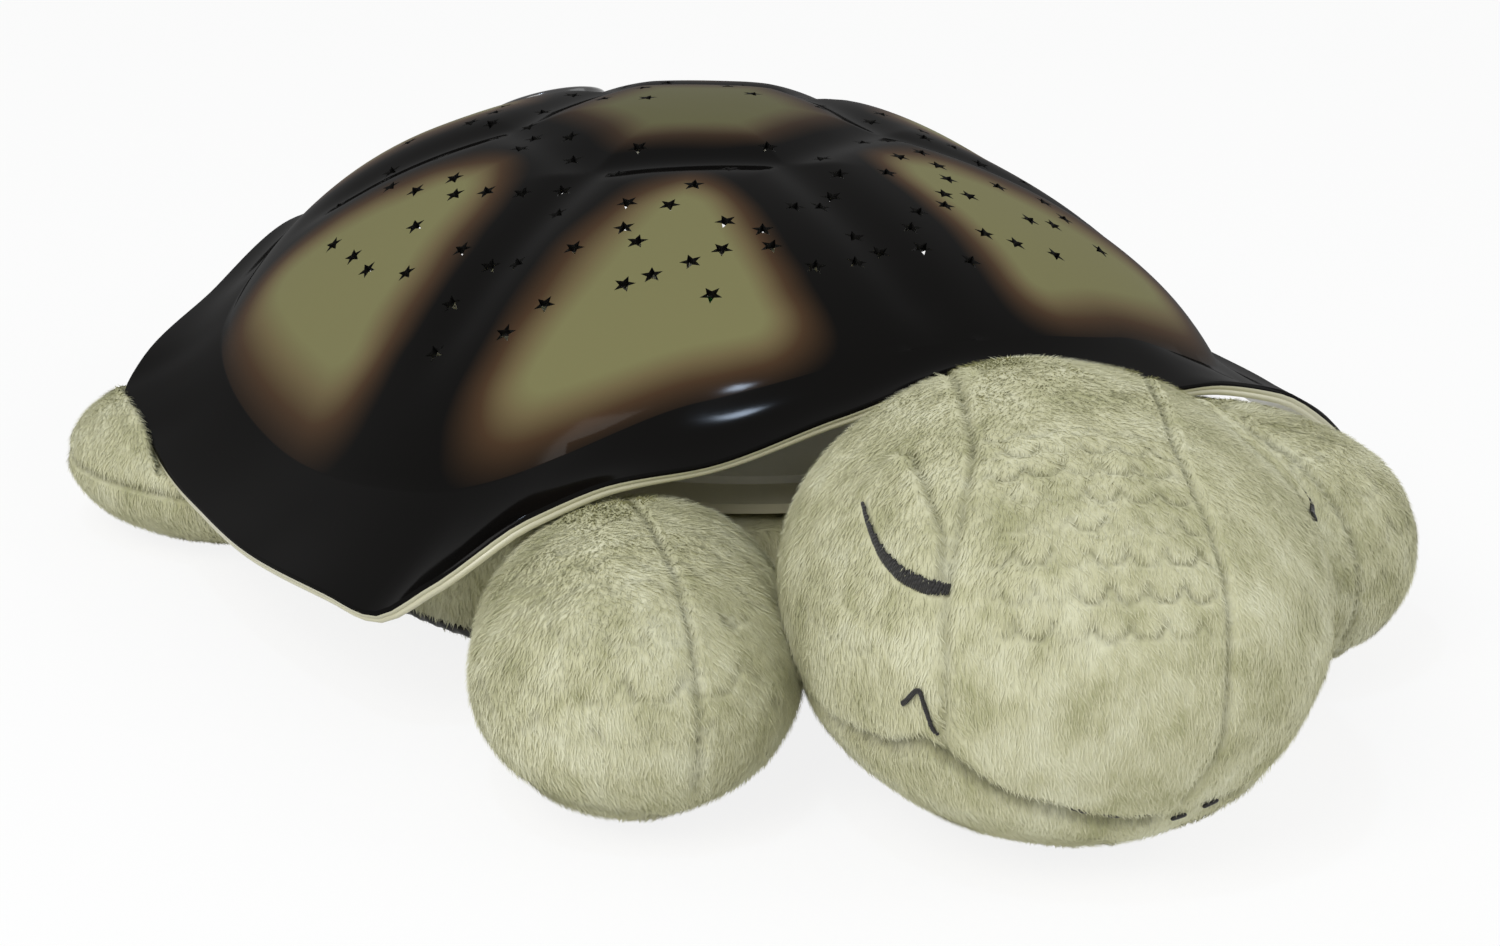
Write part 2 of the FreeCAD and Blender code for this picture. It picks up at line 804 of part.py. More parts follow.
def lead(points, radius):
    """Insulated lead: straight runs joined by tangent arcs as large as the runs allow."""
    edges = []
    here = points[0]
    for before, corner, after in zip(points, points[1:], points[2:]):
        a = (before - corner)
        b = (after - corner)
        reach = 0.45 * min(a.Length, b.Length)
        a.normalize()
        b.normalize()
        half = math.acos(max(-1.0, min(1.0, a.dot(b)))) / 2
        bend = reach * math.tan(half)
        middle = a + b
        middle.normalize()
        centre = corner + middle * (reach / math.cos(half))
        first = corner + a * reach
        last = corner + b * reach
        edges.append(Part.makeLine(here, first))
        edges.append(Part.Arc(first, centre - middle * bend, last).toShape())
        here = last
    edges.append(Part.makeLine(here, points[-1]))
    start = points[1] - points[0]
    section = Part.Wire(Part.makeCircle(radius, points[0], start))
    return Part.Wire(edges).makePipeShell([section], True, False)


def switch_leads():
    """Bundled lead from the switch board to the control board, through the deck."""
    end = panel_point(0, 0, switch_board_top() - board_thickness)
    top = control_board_low() + board_thickness
    down = end - panel_axis() * 6
    points = [end, down, V(0, 86, 58), V(0, switch_lead_y, 51), V(0, 69, 34), V(0, 63, 26), V(0, 63, top)]
    return lead(points, 1.2)


def led_leads():
    """Bundled lead from the control board to the lamps' board."""
    top = control_board_low() + board_thickness
    points = [V(12, 48, top), V(12, 48, 28), V(8, 34, 37), V(0, led_lead_y, 40)]
    points.append(V(0, led_lead_y, deck_top() + standoff_height))
    return lead(points, 1.2)


def battery_leads():
    """Two leads from the battery tray to the control board."""
    top = control_board_low() + board_thickness
    side = tray_width / 2
    solids = []
    for x in (-16, -12):
        points = [V(x, side, 24), V(x, side + 6, 24), V(x, side + 18, 27), V(x, side + 18, top)]
        solids.append(lead(points, 0.8))
    return group(solids)


def oval_joints(long_half, short_half):
    """Corner and side arc points of a quarter of a four-arc oval: end, joint, and their centres."""
    end_radius = oval_end * short_half
    reach = long_half - end_radius
    square = long_half ** 2 + short_half ** 2 - 2 * long_half * end_radius
    side_radius = square / (2 * (short_half - end_radius))
    drop = side_radius - short_half
    span = side_radius - end_radius
    return (side_radius * reach / span, side_radius * drop / span - drop)


def form_section(centre, turn, along, half_width, half_height, mid_height):
    """One oval ring of a stuffed form, as four tangent arcs, square to its length."""
    c = math.cos(math.radians(turn))
    s = math.sin(math.radians(turn))
    if half_width >= half_height:
        joint = oval_joints(half_width, half_height)
    else:
        joint = oval_joints(half_height, half_width)[::-1]
    u, w = joint
    ring = [(u, w), (0, half_height), (-u, w), (-half_width, 0)]
    ring = ring + [(-x, -z) for x, z in ring]
    points = []
    for x, z in ring:
        points.append(V(centre[0] + x * c + along * s, centre[1] + x * s - along * c, mid_height + z))
    arcs = []
    for k in (0, 2, 4, 6):
        arcs.append(Part.Arc(points[k], points[k + 1], points[(k + 2) % 8]).toShape())
    return Part.Wire(arcs)


def stuffed_form(centre, half, turn):
    """Rounded stuffed form lying along its turned -Y, cut flat where it stands on the floor."""
    half_width, front, back, half_height = half
    mid = half_height - seat_flat
    rings = []
    for share in (-0.985, -0.88, -0.62, -0.3, 0.0, 0.3, 0.62, 0.88, 0.985):
        reach = front if share > 0 else back
        size = (1 - abs(share) ** form_power) ** (1 / form_power)
        rings.append(form_section(centre, turn, share * reach, half_width * size, half_height * size, mid))
    form = Part.makeLoft(rings, True, False)
    floor = Part.makeBox(800, 800, 100, V(-400, -400, -100))
    return form.cut(floor)


def largest(shape):
    """The biggest solid of a shape."""
    return sorted(shape.Solids, key=lambda s: s.Volume)[-1]


def body_cover():
    """Stuffed ring of the body with a belly, a pocket for the housing and a hatch for the batteries."""
    r = body_radius
    top = body_height
    base = body_floor_radius
    outline = [Part.makeLine(V(0, 0, 0), V(base, 0, 0)),
               Part.Arc(V(base, 0, 0), V(r - 2.5, 0, 7.5), V(r, 0, 20)).toShape(),
               Part.Arc(V(r, 0, 20), V(r - 1.4, 0, 31), V(r - 6, 0, top)).toShape(),
               Part.makeLine(V(r - 6, 0, top), V(0, 0, top)),
               Part.makeLine(V(0, 0, top), V(0, 0, 0))]
    body = Part.Face(Part.Wire(outline)).revolve(V(0, 0, 0), Z, 360)
    pocket = Part.makeCylinder(housing_radius + cavity_gap, 60, V(0, 0, belly_thickness))
    hatch = Part.makeBox(hatch_length, hatch_width, 30, V(-hatch_length / 2, -hatch_width / 2, -5))
    wide = flap_length + 2 * flap_gap
    deep = flap_width + 2 * flap_gap
    recess = Part.makeBox(wide, deep, ledge_height + 5, V(-wide / 2, -deep / 2, -5))
    return body.cut([pocket, hatch, recess, foot_piping(clearance)])


def belly_flap():
    """Fabric flap over the hatch, folded and sewn along its round rear edge, where it swings."""
    half = flap_thickness / 2
    corner = V(-flap_length / 2, -flap_width / 2, flap_lift)
    flap = Part.makeBox(flap_length, flap_width - half, flap_thickness, corner)
    upright = [e for e in flap.Edges if abs(e.tangentAt(e.FirstParameter).z) > 0.9 and e.CenterOfMass.y < 0]
    flap = flap.makeFillet(flap_corner, upright)
    fold = V(-flap_length / 2, flap_width / 2 - half, flap_lift + half)
    return flap.fuse(Part.makeCylinder(half, flap_length, fold, V(1, 0, 0)))


def tape_strip(low, y):
    """One strip of hook-and-loop tape."""
    return Part.makeBox(tape_length, tape_width, tape_thickness, V(-tape_length / 2, y, low))


def loop_strip():
    """Loop tape on the upper side of the flap's front edge."""
    return tape_strip(flap_lift + flap_thickness, -flap_width / 2 + 1.0)


def hook_strip():
    """Hook tape under the ledge of the body, over the loop tape."""
    return tape_strip(ledge_height - tape_thickness, -flap_width / 2 + 1.0)


def foot_piping(gap=0.0):
    """Dark cord sewn round the foot of the body, or with a gap the groove that it lies in."""
    return Part.makeTorus(body_floor_radius + piping_offset, piping_radius + gap, V(0, 0, piping_height))


def neck():
    """Short stuffed neck between the body and the head."""
    half_width, half_length, half_height = neck_half
    centre = (head_centre[0] * 0.6, neck_centre_y)
    return stuffed_form(centre, (half_width, half_length, half_length, half_height), 0.0)


def build():
    """Make every piece and write it under its own name."""
    os.makedirs("parts", exist_ok=True)
    blank = shell_blank()
    body = body_cover()
    head = stuffed_form(head_centre, head_half, head_turn)
    right = stuffed_form(flipper_right_centre, flipper_half, -flipper_turn)
    left = stuffed_form(flipper_left_centre, flipper_half, flipper_turn)
    foot_left = stuffed_form(foot_centre, foot_half, foot_turn)
    foot_right = mirrored(foot_left)
    tail = stuffed_form(tail_centre, tail_half, 180.0)
    shadow = Part.makeCylinder(body_radius + form_gap, 200, V(0, 0, -50))
    pieces = {
        "star_shell": star_shell(blank),
        "base_housing": base_housing(),
        "housing_screws": housing_screws(),
        "light_deck": light_deck(),
        "deck_screws": deck_screws(),
        "led_board": led_board(),
        "led_board_screws": led_board_screws(),
        "led_blue": led_lamp(60),
        "led_green": led_lamp(180),
        "led_amber": led_lamp(300),
        "control_board": control_board(),
        "control_board_screws": control_board_screws(),
        "timer_chip": timer_chip(),
        "battery_tray": battery_tray(),
        "cells": cells(),
        "battery_springs": battery_springs(),
        "contact_plates": contact_plates(),
        "battery_door": battery_door(),
        "door_screw": door_screw(),
        "button_bezel": button_bezel(),
        "switch_board": switch_board(),
        "tact_switches": tact_switches(),
        "switch_leads": switch_leads(),
        "led_leads": led_leads(),
        "battery_leads": battery_leads(),
        "body_cover": body,
        "foot_piping": foot_piping(),
        "belly_flap": belly_flap(),
        "loop_strip": loop_strip(),
        "hook_strip": hook_strip(),
        "head": largest(head.cut([shadow, blank])),
        "neck": largest(neck().cut([shadow, head, blank])),
        "front_right_flipper": largest(right.cut([shadow, head, blank])),
        "front_left_flipper": largest(left.cut([shadow, head, blank])),
        "rear_right_foot": largest(foot_right.cut([shadow, blank])),
        "rear_left_foot": largest(foot_left.cut([shadow, blank])),
        "tail": largest(tail.cut([shadow, blank])),
    }
    for name, radius, across, up in button_layout():
        pieces[name] = push_button(radius, across, up)
    for name, shape in pieces.items():
        print(name, shape.isValid(), len(shape.Solids), round(shape.Volume, 1))
        shape.exportStep("parts/" + name + ".step")


build()
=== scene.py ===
"""Looks of a star night light projector: a plush turtle under a hard domed shell full of star holes."""

import logging
import math
from dataclasses import dataclass, field
from enum import Enum
from typing import Sequence

import bmesh
import bpy
import numpy as np
from mathutils import Matrix, Vector, noise
from mathutils.bvhtree import BVHTree


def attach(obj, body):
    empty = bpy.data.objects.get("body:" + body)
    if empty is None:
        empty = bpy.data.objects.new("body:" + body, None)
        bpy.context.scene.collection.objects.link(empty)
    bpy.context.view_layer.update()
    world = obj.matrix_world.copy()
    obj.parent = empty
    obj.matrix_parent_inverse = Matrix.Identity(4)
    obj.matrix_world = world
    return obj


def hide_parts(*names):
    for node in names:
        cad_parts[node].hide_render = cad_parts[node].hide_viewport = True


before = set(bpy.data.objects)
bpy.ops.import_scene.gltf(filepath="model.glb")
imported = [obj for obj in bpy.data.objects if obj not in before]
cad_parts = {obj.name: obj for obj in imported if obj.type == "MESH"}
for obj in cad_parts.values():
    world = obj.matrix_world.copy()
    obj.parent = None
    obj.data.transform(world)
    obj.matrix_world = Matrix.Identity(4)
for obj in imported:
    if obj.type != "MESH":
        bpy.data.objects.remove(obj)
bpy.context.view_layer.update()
MM = 0.001
ROOT = "body"
# The width of one swirl in the lie of the pile.
STRAY_MM = 13.0
LOG = logging.getLogger("turtle_light")

Material = bpy.types.Material
Mesh = bpy.types.Mesh
Object = bpy.types.Object
Socket = bpy.types.NodeSocket
Line = Sequence[tuple[float, float]]


class Side(Enum):
    """The turtle's own right (-X) and left (+X)."""

    RIGHT = -1
    LEFT = 1


def linear(hex_colour: str, tone: float = 1.0) -> tuple[float, ...]:
    """Turn an sRGB hex colour into linear RGBA.

    Args:
        hex_colour: Six hex digits after a hash.
        tone: Factor on the levels, which end at 1.

    Returns:
        Linear red, green, blue and an alpha of 1.
    """
    channels = [int(hex_colour[i:i + 2], 16) / 255 for i in (1, 3, 5)]
    levels = [c / 12.92 if c <= 0.04045 else ((c + 0.055) / 1.055) ** 2.4 for c in channels]
    return tuple(min(c * tone, 1.0) for c in levels) + (1.0,)


class Nodes:
    """Adds nodes to one tree and gives back the socket that the next node takes."""

    def __init__(self, tree: bpy.types.NodeTree) -> None:
        """Keep the tree."""
        self.tree = tree

    def add(self, kind: str, inputs: dict | None = None, out: int | str = 0, **settings: object) -> Socket:
        """Add a node with its settings, values and links.

        Args:
            kind: The node's type name.
            inputs: Socket name or index to a value, or to the socket that feeds it.
            out: Which output to give back.
            settings: Properties of the node.

        Returns:
            The chosen output.
        """
        node = self.tree.nodes.new(kind)
        for key, value in settings.items():
            setattr(node, key, value)
        for key, value in (inputs or {}).items():
            if isinstance(value, Socket):
                self.tree.links.new(value, node.inputs[key])
            else:
                node.inputs[key].default_value = value
        return node.outputs[out]

    def math(self, operation: str, *values: Socket | float) -> Socket:
        """One operation on numbers."""
        return self.add("ShaderNodeMath", dict(enumerate(values)), operation=operation)

    def axis(self, vector: Socket, name: str) -> Socket:
        """The X, Y or Z of a vector."""
        return self.add("ShaderNodeSeparateXYZ", {"Vector": vector}, name)

    def vector(self, **values: Socket | float) -> Socket:
        """A vector from its X, Y and Z."""
        return self.add("ShaderNodeCombineXYZ", values)

    def scaled(self, colour: Socket, factor: Socket) -> Socket:
        """A colour times a number."""
        return self.add("ShaderNodeVectorMath", {0: colour, "Scale": factor}, operation="SCALE")

    def noise(self, vector: Socket, scale: float, detail: float = 2.0, roughness: float = 0.5) -> Socket:
        """Cloudy noise from 0 to 1."""
        values = {"Vector": vector, "Scale": scale, "Detail": detail, "Roughness": roughness}
        return self.add("ShaderNodeTexNoise", values, "Fac")

    def remap(self, value: Socket, to: tuple[float, float], given: tuple[float, float] = (0.0, 1.0),
              kind: str = "LINEAR") -> Socket:
        """Stretch the given range of a value onto another range."""
        values = {"Value": value, "From Min": given[0], "From Max": given[1],
                  "To Min": to[0], "To Max": to[1]}
        return self.add("ShaderNodeMapRange", values, "Result", interpolation_type=kind)

    def ease(self, value: Socket, given: tuple[float, float], to: tuple[float, float] = (0.0, 1.0)) -> Socket:
        """Remap with soft ends."""
        return self.remap(value, to, given, "SMOOTHSTEP")

    def ramp(self, value: Socket, stops: Sequence[tuple[float, tuple[float, ...]]]) -> Socket:
        """Colour for a value, from places and colours: first the two ends, then what lies between."""
        node = self.tree.nodes.new("ShaderNodeValToRGB")
        self.tree.links.new(value, node.inputs["Fac"])
        elements = node.color_ramp.elements
        for k, (place, colour) in enumerate(stops):
            element = elements[k] if k < 2 else elements.new(place)
            element.position = place
            element.color = colour
        return node.outputs["Color"]

    def bump(self, height: Socket, distance_mm: float, strength: float = 1.0) -> Socket:
        """Normal of a fine relief."""
        values = {"Height": height, "Distance": distance_mm * MM, "Strength": strength}
        return self.add("ShaderNodeBump", values, "Normal")


class Surface(Nodes):
    """A material with one Principled surface."""

    def __init__(self, name: str, values: dict) -> None:
        """Start the material with the shader's uniform values."""
        self.material = bpy.data.materials.new(name)
        self.material.use_nodes = True
        super().__init__(self.material.node_tree)
        self.shader = self.tree.nodes["Principled BSDF"]
        for key, value in values.items():
            self.shader.inputs[key].default_value = value
        self.place = self.add("ShaderNodeTexCoord", out="Object")

    def stretched(self, scale: tuple[float, float, float]) -> Socket:
        """Object places with each axis scaled."""
        return self.add("ShaderNodeMapping", {"Vector": self.place, "Scale": scale})

    def attribute(self, name: str) -> Socket:
        """A vertex attribute."""
        return self.add("ShaderNodeAttribute", out="Fac", attribute_name=name)

    def finish(self, **sockets: Socket) -> Material:
        """Feed the shader's inputs, whose names have an underscore for each space."""
        for name, socket in sockets.items():
            self.tree.links.new(socket, self.shader.inputs[name.replace("_", " ")])
        return self.material


class NodeGroup(Nodes):
    """A geometry node group: geometry in and out, and named inputs."""

    def __init__(self, name: str, kinds: dict[str, str]) -> None:
        """Make the group with an input of each kind."""
        super().__init__(bpy.data.node_groups.new(name, "GeometryNodeTree"))
        face = self.tree.interface
        face.new_socket("Geometry", in_out="INPUT", socket_type="NodeSocketGeometry")
        self.keys = {key: face.new_socket(key, in_out="INPUT", socket_type="NodeSocket" + kind).identifier
                     for key, kind in kinds.items()}
        face.new_socket("Geometry", in_out="OUTPUT", socket_type="NodeSocketGeometry")
        self.given = self.tree.nodes.new("NodeGroupInput").outputs

    def attribute(self, name: str, kind: str = "FLOAT") -> Socket:
        """A named attribute of each point."""
        return self.add("GeometryNodeInputNamedAttribute", {"Name": name}, "Attribute", data_type=kind)

    def chance(self, low: float, high: float, seed: Socket | int) -> Socket:
        """A random number for each point."""
        return self.add("FunctionNodeRandomValue", {2: low, 3: high, "Seed": seed}, 1, data_type="FLOAT")

    def facing(self, outward: Socket, along: Socket | None = None) -> Socket:
        """Rotation with Z outward and, where it is given, X along a direction."""
        kind = "FunctionNodeAlignRotationToVector"
        stand = self.add(kind, {"Vector": outward}, axis="Z")
        if along is None:
            return stand
        return self.add(kind, {"Rotation": stand, "Vector": along}, axis="X", pivot_axis="Z")

    def turned(self, rotation: Socket, euler: Socket) -> Socket:
        """A rotation turned further about its own axes."""
        extra = self.add("FunctionNodeEulerToRotation", {"Euler": euler})
        values = {"Rotation": rotation, "Rotate By": extra}
        return self.add("FunctionNodeRotateRotation", values, rotation_space="LOCAL")

    def copies(self, points: Socket, piece: Socket, rotation: Socket, **more: Socket) -> Socket:
        """Copies of a piece on points."""
        values = {"Points": points, "Instance": piece, "Rotation": rotation, **more}
        return self.add("GeometryNodeInstanceOnPoints", values)

    def join(self, *pieces: Socket) -> Socket:
        """Several geometries as one."""
        node = self.tree.nodes.new("GeometryNodeJoinGeometry")
        for piece in pieces:
            self.tree.links.new(piece, node.inputs["Geometry"])
        return node.outputs["Geometry"]

    def close(self, geometry: Socket, material: Socket | Material, smooth: bool = False) -> None:
        """Make the copies real, coat them and end the group."""
        real = self.add("GeometryNodeRealizeInstances", {"Geometry": geometry})
        if smooth:
            real = self.add("GeometryNodeSetShadeSmooth", {"Geometry": real})
        coat = self.add("GeometryNodeSetMaterial", {"Geometry": real, "Material": material})
        self.tree.links.new(coat, self.tree.nodes.new("NodeGroupOutput").inputs["Geometry"])

    def run(self, obj: Object, values: dict) -> Object:
        """Run the group on an object and give back the plain mesh that it makes.

        Args:
            obj: The object that the geometry comes from, which is removed.
            values: A value for each named input.

        Returns:
            The result, under the object's name.
        """
        modifier = obj.modifiers.new(self.tree.name, "NODES")
        modifier.node_group = self.tree
        for key, value in values.items():
            modifier[self.keys[key]] = value
        return applied(obj, obj.name)


@dataclass(frozen=True)
class MouldedPlastic:
    """Injection-moulded ABS: even colour, a fine spark-eroded grain and soft highlights."""

    name: str
    colour: str
    roughness: float = 0.38
    # Eroded grain is finer than this, which is as coarse as it has to be to show.
    grain_mm: float = 0.5
    relief_mm: float = 0.012
    coat: float = 0.0
    cloud_scale: float = 60.0

    def material(self) -> Material:
        """Build the plastic's material."""
        made = Surface(self.name, {"IOR": 1.53, "Coat Weight": self.coat, "Coat Roughness": 0.06})
        grain = made.noise(made.place, 1 / (self.grain_mm * MM), 3.0)
        cloud = made.noise(made.place, self.cloud_scale)
        colour = made.ramp(cloud, [(0.0, linear(self.colour, 0.9)), (1.0, linear(self.colour, 1.06))])
        rough = made.remap(grain, (self.roughness * 0.85, self.roughness * 1.15))
        return made.finish(Base_Color=colour, Roughness=rough, Normal=made.bump(grain, self.relief_mm, 0.8))


@dataclass(frozen=True)
class SprayedShell:
    """Glossy ABS with lacquer sprayed on its valleys and rim: olive panels, brown edges, black lines."""

    name: str = "sprayed_shell_lacquer"
    panel: str = "#77744f"
    panel_edge: str = "#685c40"
    brown: str = "#443222"
    black: str = "#0b0a09"
    spoke_clear_mm: float = 38.0
    spoke_black_mm: float = 7.0
    side_clear_mm: float = 29.0
    side_black_mm: float = 3.0
    rim_clear_row: float = 0.85
    rim_black_row: float = 1.04
    top_tone: float = 0.6
    hexagon_mm: float = 48.0
    hexagon_y_mm: float = 17.0
    front_extra_mm: float = 10.0
    front_reach: tuple[float, float] = (0.15, 0.5)
    spray_wander_mm: float = 4.0
    spray_scale: float = 22.0
    peel_mm: float = 3.0

    def material(self) -> Material:
        """Build the lacquer: distances to the valleys and the rim drive one colour ramp."""
        made = Surface(self.name, {"Roughness": 0.2, "Specular IOR Level": 0.0, "Coat Weight": 0.1,
                                   "Coat Roughness": 0.1, "Coat IOR": 1.5})
        x = made.axis(made.place, "X")
        back = made.math("SUBTRACT", self.hexagon_y_mm * MM, made.axis(made.place, "Y"))
        row = made.axis(made.add("ShaderNodeUVMap", out="UV", uv_map="shell_map"), "Y")
        angle = made.math("ARCTAN2", x, back)
        half = math.radians(30.0)
        spoke = made.math("PINGPONG", angle, half)
        radius = made.add("ShaderNodeVectorMath", {0: made.vector(X=x, Y=back)}, "Value", operation="LENGTH")
        across = made.math("MULTIPLY", radius, made.math("COSINE", made.math("SUBTRACT", half, spoke)))
        past = made.math("SUBTRACT", across, self.hexagon_mm * MM * math.cos(half))
        inside = made.remap(past, (0.05, 0.0), (-0.012, 0.004))
        front = made.ease(made.math("ABSOLUTE", angle), self.front_reach, (-self.front_extra_mm * MM, 0.0))
        line = made.math("ADD", made.math("MULTIPLY", radius, made.math("SINE", spoke)), inside)
        line = made.math("ADD", line, front)
        stray = self.spray_wander_mm * MM
        wander = made.remap(made.noise(made.place, self.spray_scale), (-stray, stray))
        clear = made.ease(row, (self.rim_black_row / 2, self.rim_clear_row / 2))
        for near, low, high in ((line, self.spoke_black_mm, self.spoke_clear_mm),
                                (made.math("ABSOLUTE", past), self.side_black_mm, self.side_clear_mm)):
            mask = made.ease(made.math("ADD", near, wander), (low * MM, high * MM))
            clear = made.math("MULTIPLY", clear, mask)
        colour = made.ramp(clear, [(0.05, linear(self.black)), (0.86, linear(self.panel)),
                                   (0.34, linear(self.brown)), (0.62, linear(self.panel_edge))])
        top = made.ease(past, (-0.004, 0.012), (self.top_tone, 1.0))
        peel = made.bump(made.noise(made.place, 1 / (self.peel_mm * MM)), 0.01, 0.5)
        return made.finish(Base_Color=made.scaled(colour, top), Normal=peel)


@dataclass(frozen=True)
class ShortPilePlush:
    """Knitted polyester plush with a short brushed pile: mottled and soft edged, with painted light on the
    tips of the pile and painted shade in its seams.
    """

    name: str
    light: str = "#dad9bd"
    middle: str = "#c8c6a4"
    dark: str = "#abaa83"
    blotch_mm: float = 16.0
    tuft_mm: float = 2.6
    thread_mm: float = 0.35
    tip_painted_light: float = 0.16
    seam_painted_shade: float = 0.4

    def material(self) -> Material:
        """Build the plush: blotches and tufts of three tones, with painted shade darkening the seams and
        folds.
        """
        made = Surface(self.name, {"Roughness": 0.92, "IOR": 1.4, "Specular IOR Level": 0.15,
                                   "Sheen Weight": 0.35, "Sheen Roughness": 0.5,
                                   "Sheen Tint": linear(self.light)})
        stretch = made.stretched((1.0, 1.0, 0.35))
        blotch = made.noise(made.place, 1 / (self.blotch_mm * MM), 3.0, 0.6)
        tuft = made.noise(stretch, 1 / (self.tuft_mm * MM), 4.0, 0.7)
        level = made.math("ADD", blotch, made.math("MULTIPLY_ADD", tuft, 0.45, -0.22))
        # Painted light: each blade grows lighter towards its tip, as if the tips caught the light and the
        # roots lay in shade.
        lifted = made.math("MULTIPLY_ADD", made.attribute("tip"), self.tip_painted_light, level)
        colour = made.ramp(lifted, [(0.3, linear(self.dark)), (0.76, linear(self.light)),
                                    (0.52, linear(self.middle))])
        # Painted shade: the colour darkens where the shade attribute marks seams, folds and pressed lines.
        keep = made.remap(made.attribute("shade"), (1.0, self.seam_painted_shade))
        weave = made.noise(stretch, 1 / (self.thread_mm * MM))
        return made.finish(Base_Color=made.scaled(colour, keep), Normal=made.bump(weave, 0.25, 0.7))


@dataclass(frozen=True)
class Thread:
    """Twisted polyester thread or woven cord: dark, with a faint sheen and a fine twist."""

    name: str
    colour: str = "#141210"
    twist_mm: float = 0.4

    def material(self) -> Material:
        """Build the thread's material."""
        made = Surface(self.name, {"Roughness": 0.55, "Sheen Weight": 0.2, "Specular IOR Level": 0.35})
        scale = 1 / (self.twist_mm * MM) / 6.28
        wave = made.add("ShaderNodeTexWave", {"Vector": made.place, "Scale": scale, "Distortion": 1.5}, "Fac",
                        bands_direction="DIAGONAL")
        colour = made.ramp(wave, [(0.0, linear(self.colour, 0.6)), (1.0, linear(self.colour, 1.7))])
        return made.finish(Base_Color=colour, Normal=made.bump(wave, 0.1))


@dataclass(frozen=True)
class PlatedSteel:
    """Zinc or nickel plated steel: grey metal with fine drawn scratches."""

    name: str
    colour: str = "#b9b9b6"
    roughness: float = 0.32
    # Drawn scratches are finer than this, which is as coarse as they have to be to show.
    scratch_mm: float = 0.25

    def material(self) -> Material:
        """Build the plated metal."""
        made = Surface(self.name, {"Metallic": 1.0})
        fine = made.noise(made.stretched((1.0, 0.12, 1.0)), 1 / (self.scratch_mm * MM), 4.0)
        rough = made.remap(fine, (self.roughness * 0.7, self.roughness * 1.4))
        colour = made.ramp(fine, [(0.0, linear(self.colour, 0.8)), (1.0, linear(self.colour))])
        return made.finish(Base_Color=colour, Roughness=rough, Normal=made.bump(fine, 0.01))


@dataclass(frozen=True)
class CircuitBoard:
    """Glass-epoxy board under solder mask: green with paler copper tracks below it."""

    name: str = "solder_masked_board"
    mask: str = "#14532b"
    track: str = "#2f7d47"
    track_mm: float = 2.2

    def material(self) -> Material:
        """Build the board's material."""
        made = Surface(self.name, {"Roughness": 0.3, "Coat Weight": 0.3})
        mask = linear(self.mask)
        tracks = made.add("ShaderNodeTexBrick", {
            "Vector": made.place, "Color1": linear(self.track), "Color2": mask, "Mortar": mask,
            "Scale": 1 / (self.track_mm * MM), "Mortar Size": 0.06, "Brick Width": 2.6, "Row Height": 0.5},
            offset=0.5)
        return made.finish(Base_Color=tracks, Normal=made.bump(tracks.node.outputs["Fac"], 0.05))


@dataclass(frozen=True)
class TintedEpoxy:
    """Cast epoxy of a lamp: clear, tinted and faintly clouded."""

    name: str
    colour: str
    cloud_scale: float = 700.0

    def material(self) -> Material:
        """Build the lamp's epoxy."""
        made = Surface(self.name, {"Base Color": linear(self.colour), "IOR": 1.52,
                                   "Transmission Weight": 0.75})
        return made.finish(Roughness=made.remap(made.noise(made.place, self.cloud_scale), (0.06, 0.25)))


def mesh_object(name: str, points: np.ndarray, faces: Sequence, materials: Sequence[Material]) -> Object:
    """Make an object at the origin from points in millimetres.

    Args:
        name: The object's name.
        points: One row of x, y, z for each vertex.
        faces: Vertex indices of each face.
        materials: The object's materials.

    Returns:
        The new object, linked to the scene.
    """
    mesh = bpy.data.meshes.new(name)
    mesh.from_pydata((np.asarray(points) * MM).tolist(), [], [list(f) for f in faces])
    mesh.update()
    for material in materials:
        mesh.materials.append(material)
    obj = bpy.data.objects.new(name, mesh)
    bpy.context.collection.objects.link(obj)
    return obj


def set_attribute(mesh: Mesh, name: str, values: np.ndarray) -> None:
    """Store one value or vector for each vertex.

    Args:
        mesh: The mesh to write to.
        name: The attribute's name.
        values: One number or one x, y, z row for each vertex.
    """
    flat = np.asarray(values, dtype=np.float32)
    kind = "FLOAT_VECTOR" if flat.ndim == 2 else "FLOAT"
    attribute = mesh.attributes.new(name, kind, "POINT")
    attribute.data.foreach_set("vector" if flat.ndim == 2 else "value", flat.ravel())


def vertex_array(mesh: Mesh, what: str = "co") -> np.ndarray:
    """Read every vertex's place in millimetres, or its unit normal.

    Args:
        mesh: The mesh to read.
        what: "co" for places or "normal" for normals.

    Returns:
        One row for each vertex.
    """
    flat = np.empty(len(mesh.vertices) * 3, dtype=np.float64)
    mesh.vertices.foreach_get(what, flat)
    return flat.reshape(-1, 3) / (MM if what == "co" else 1.0)


def set_places(mesh: Mesh, points: np.ndarray) -> None:
    """Move every vertex to a place in millimetres."""
    mesh.vertices.foreach_set("co", (points * MM).astype(np.float32).ravel())
    mesh.update()


def applied(obj: Object, name: str) -> Object:
    """Turn an object with modifiers into a plain mesh object.

    Args:
        obj: The object whose modifiers are live.
        name: The new object's name.

    Returns:
        A plain mesh object; the old one is removed.
    """
    bpy.context.view_layer.update()
    graph = bpy.context.evaluated_depsgraph_get()
    made = obj.evaluated_get(graph)
    mesh = bpy.data.meshes.new_from_object(made, preserve_all_data_layers=True, depsgraph=graph)
    bpy.data.objects.remove(obj)
    result = bpy.data.objects.new(name, mesh)
    bpy.context.collection.objects.link(result)
    return result


def smooth_shaded(mesh: Mesh) -> None:
    """Shade every face smoothly."""
    mesh.polygons.foreach_set("use_smooth", [True] * len(mesh.polygons))
    mesh.update()


def face_outward(mesh: Mesh) -> None:
    """Make every face of a closed mesh point outward."""
    work = bmesh.new()
    work.from_mesh(mesh)
    bmesh.ops.recalc_face_normals(work, faces=work.faces)
    work.to_mesh(mesh)
    work.free()


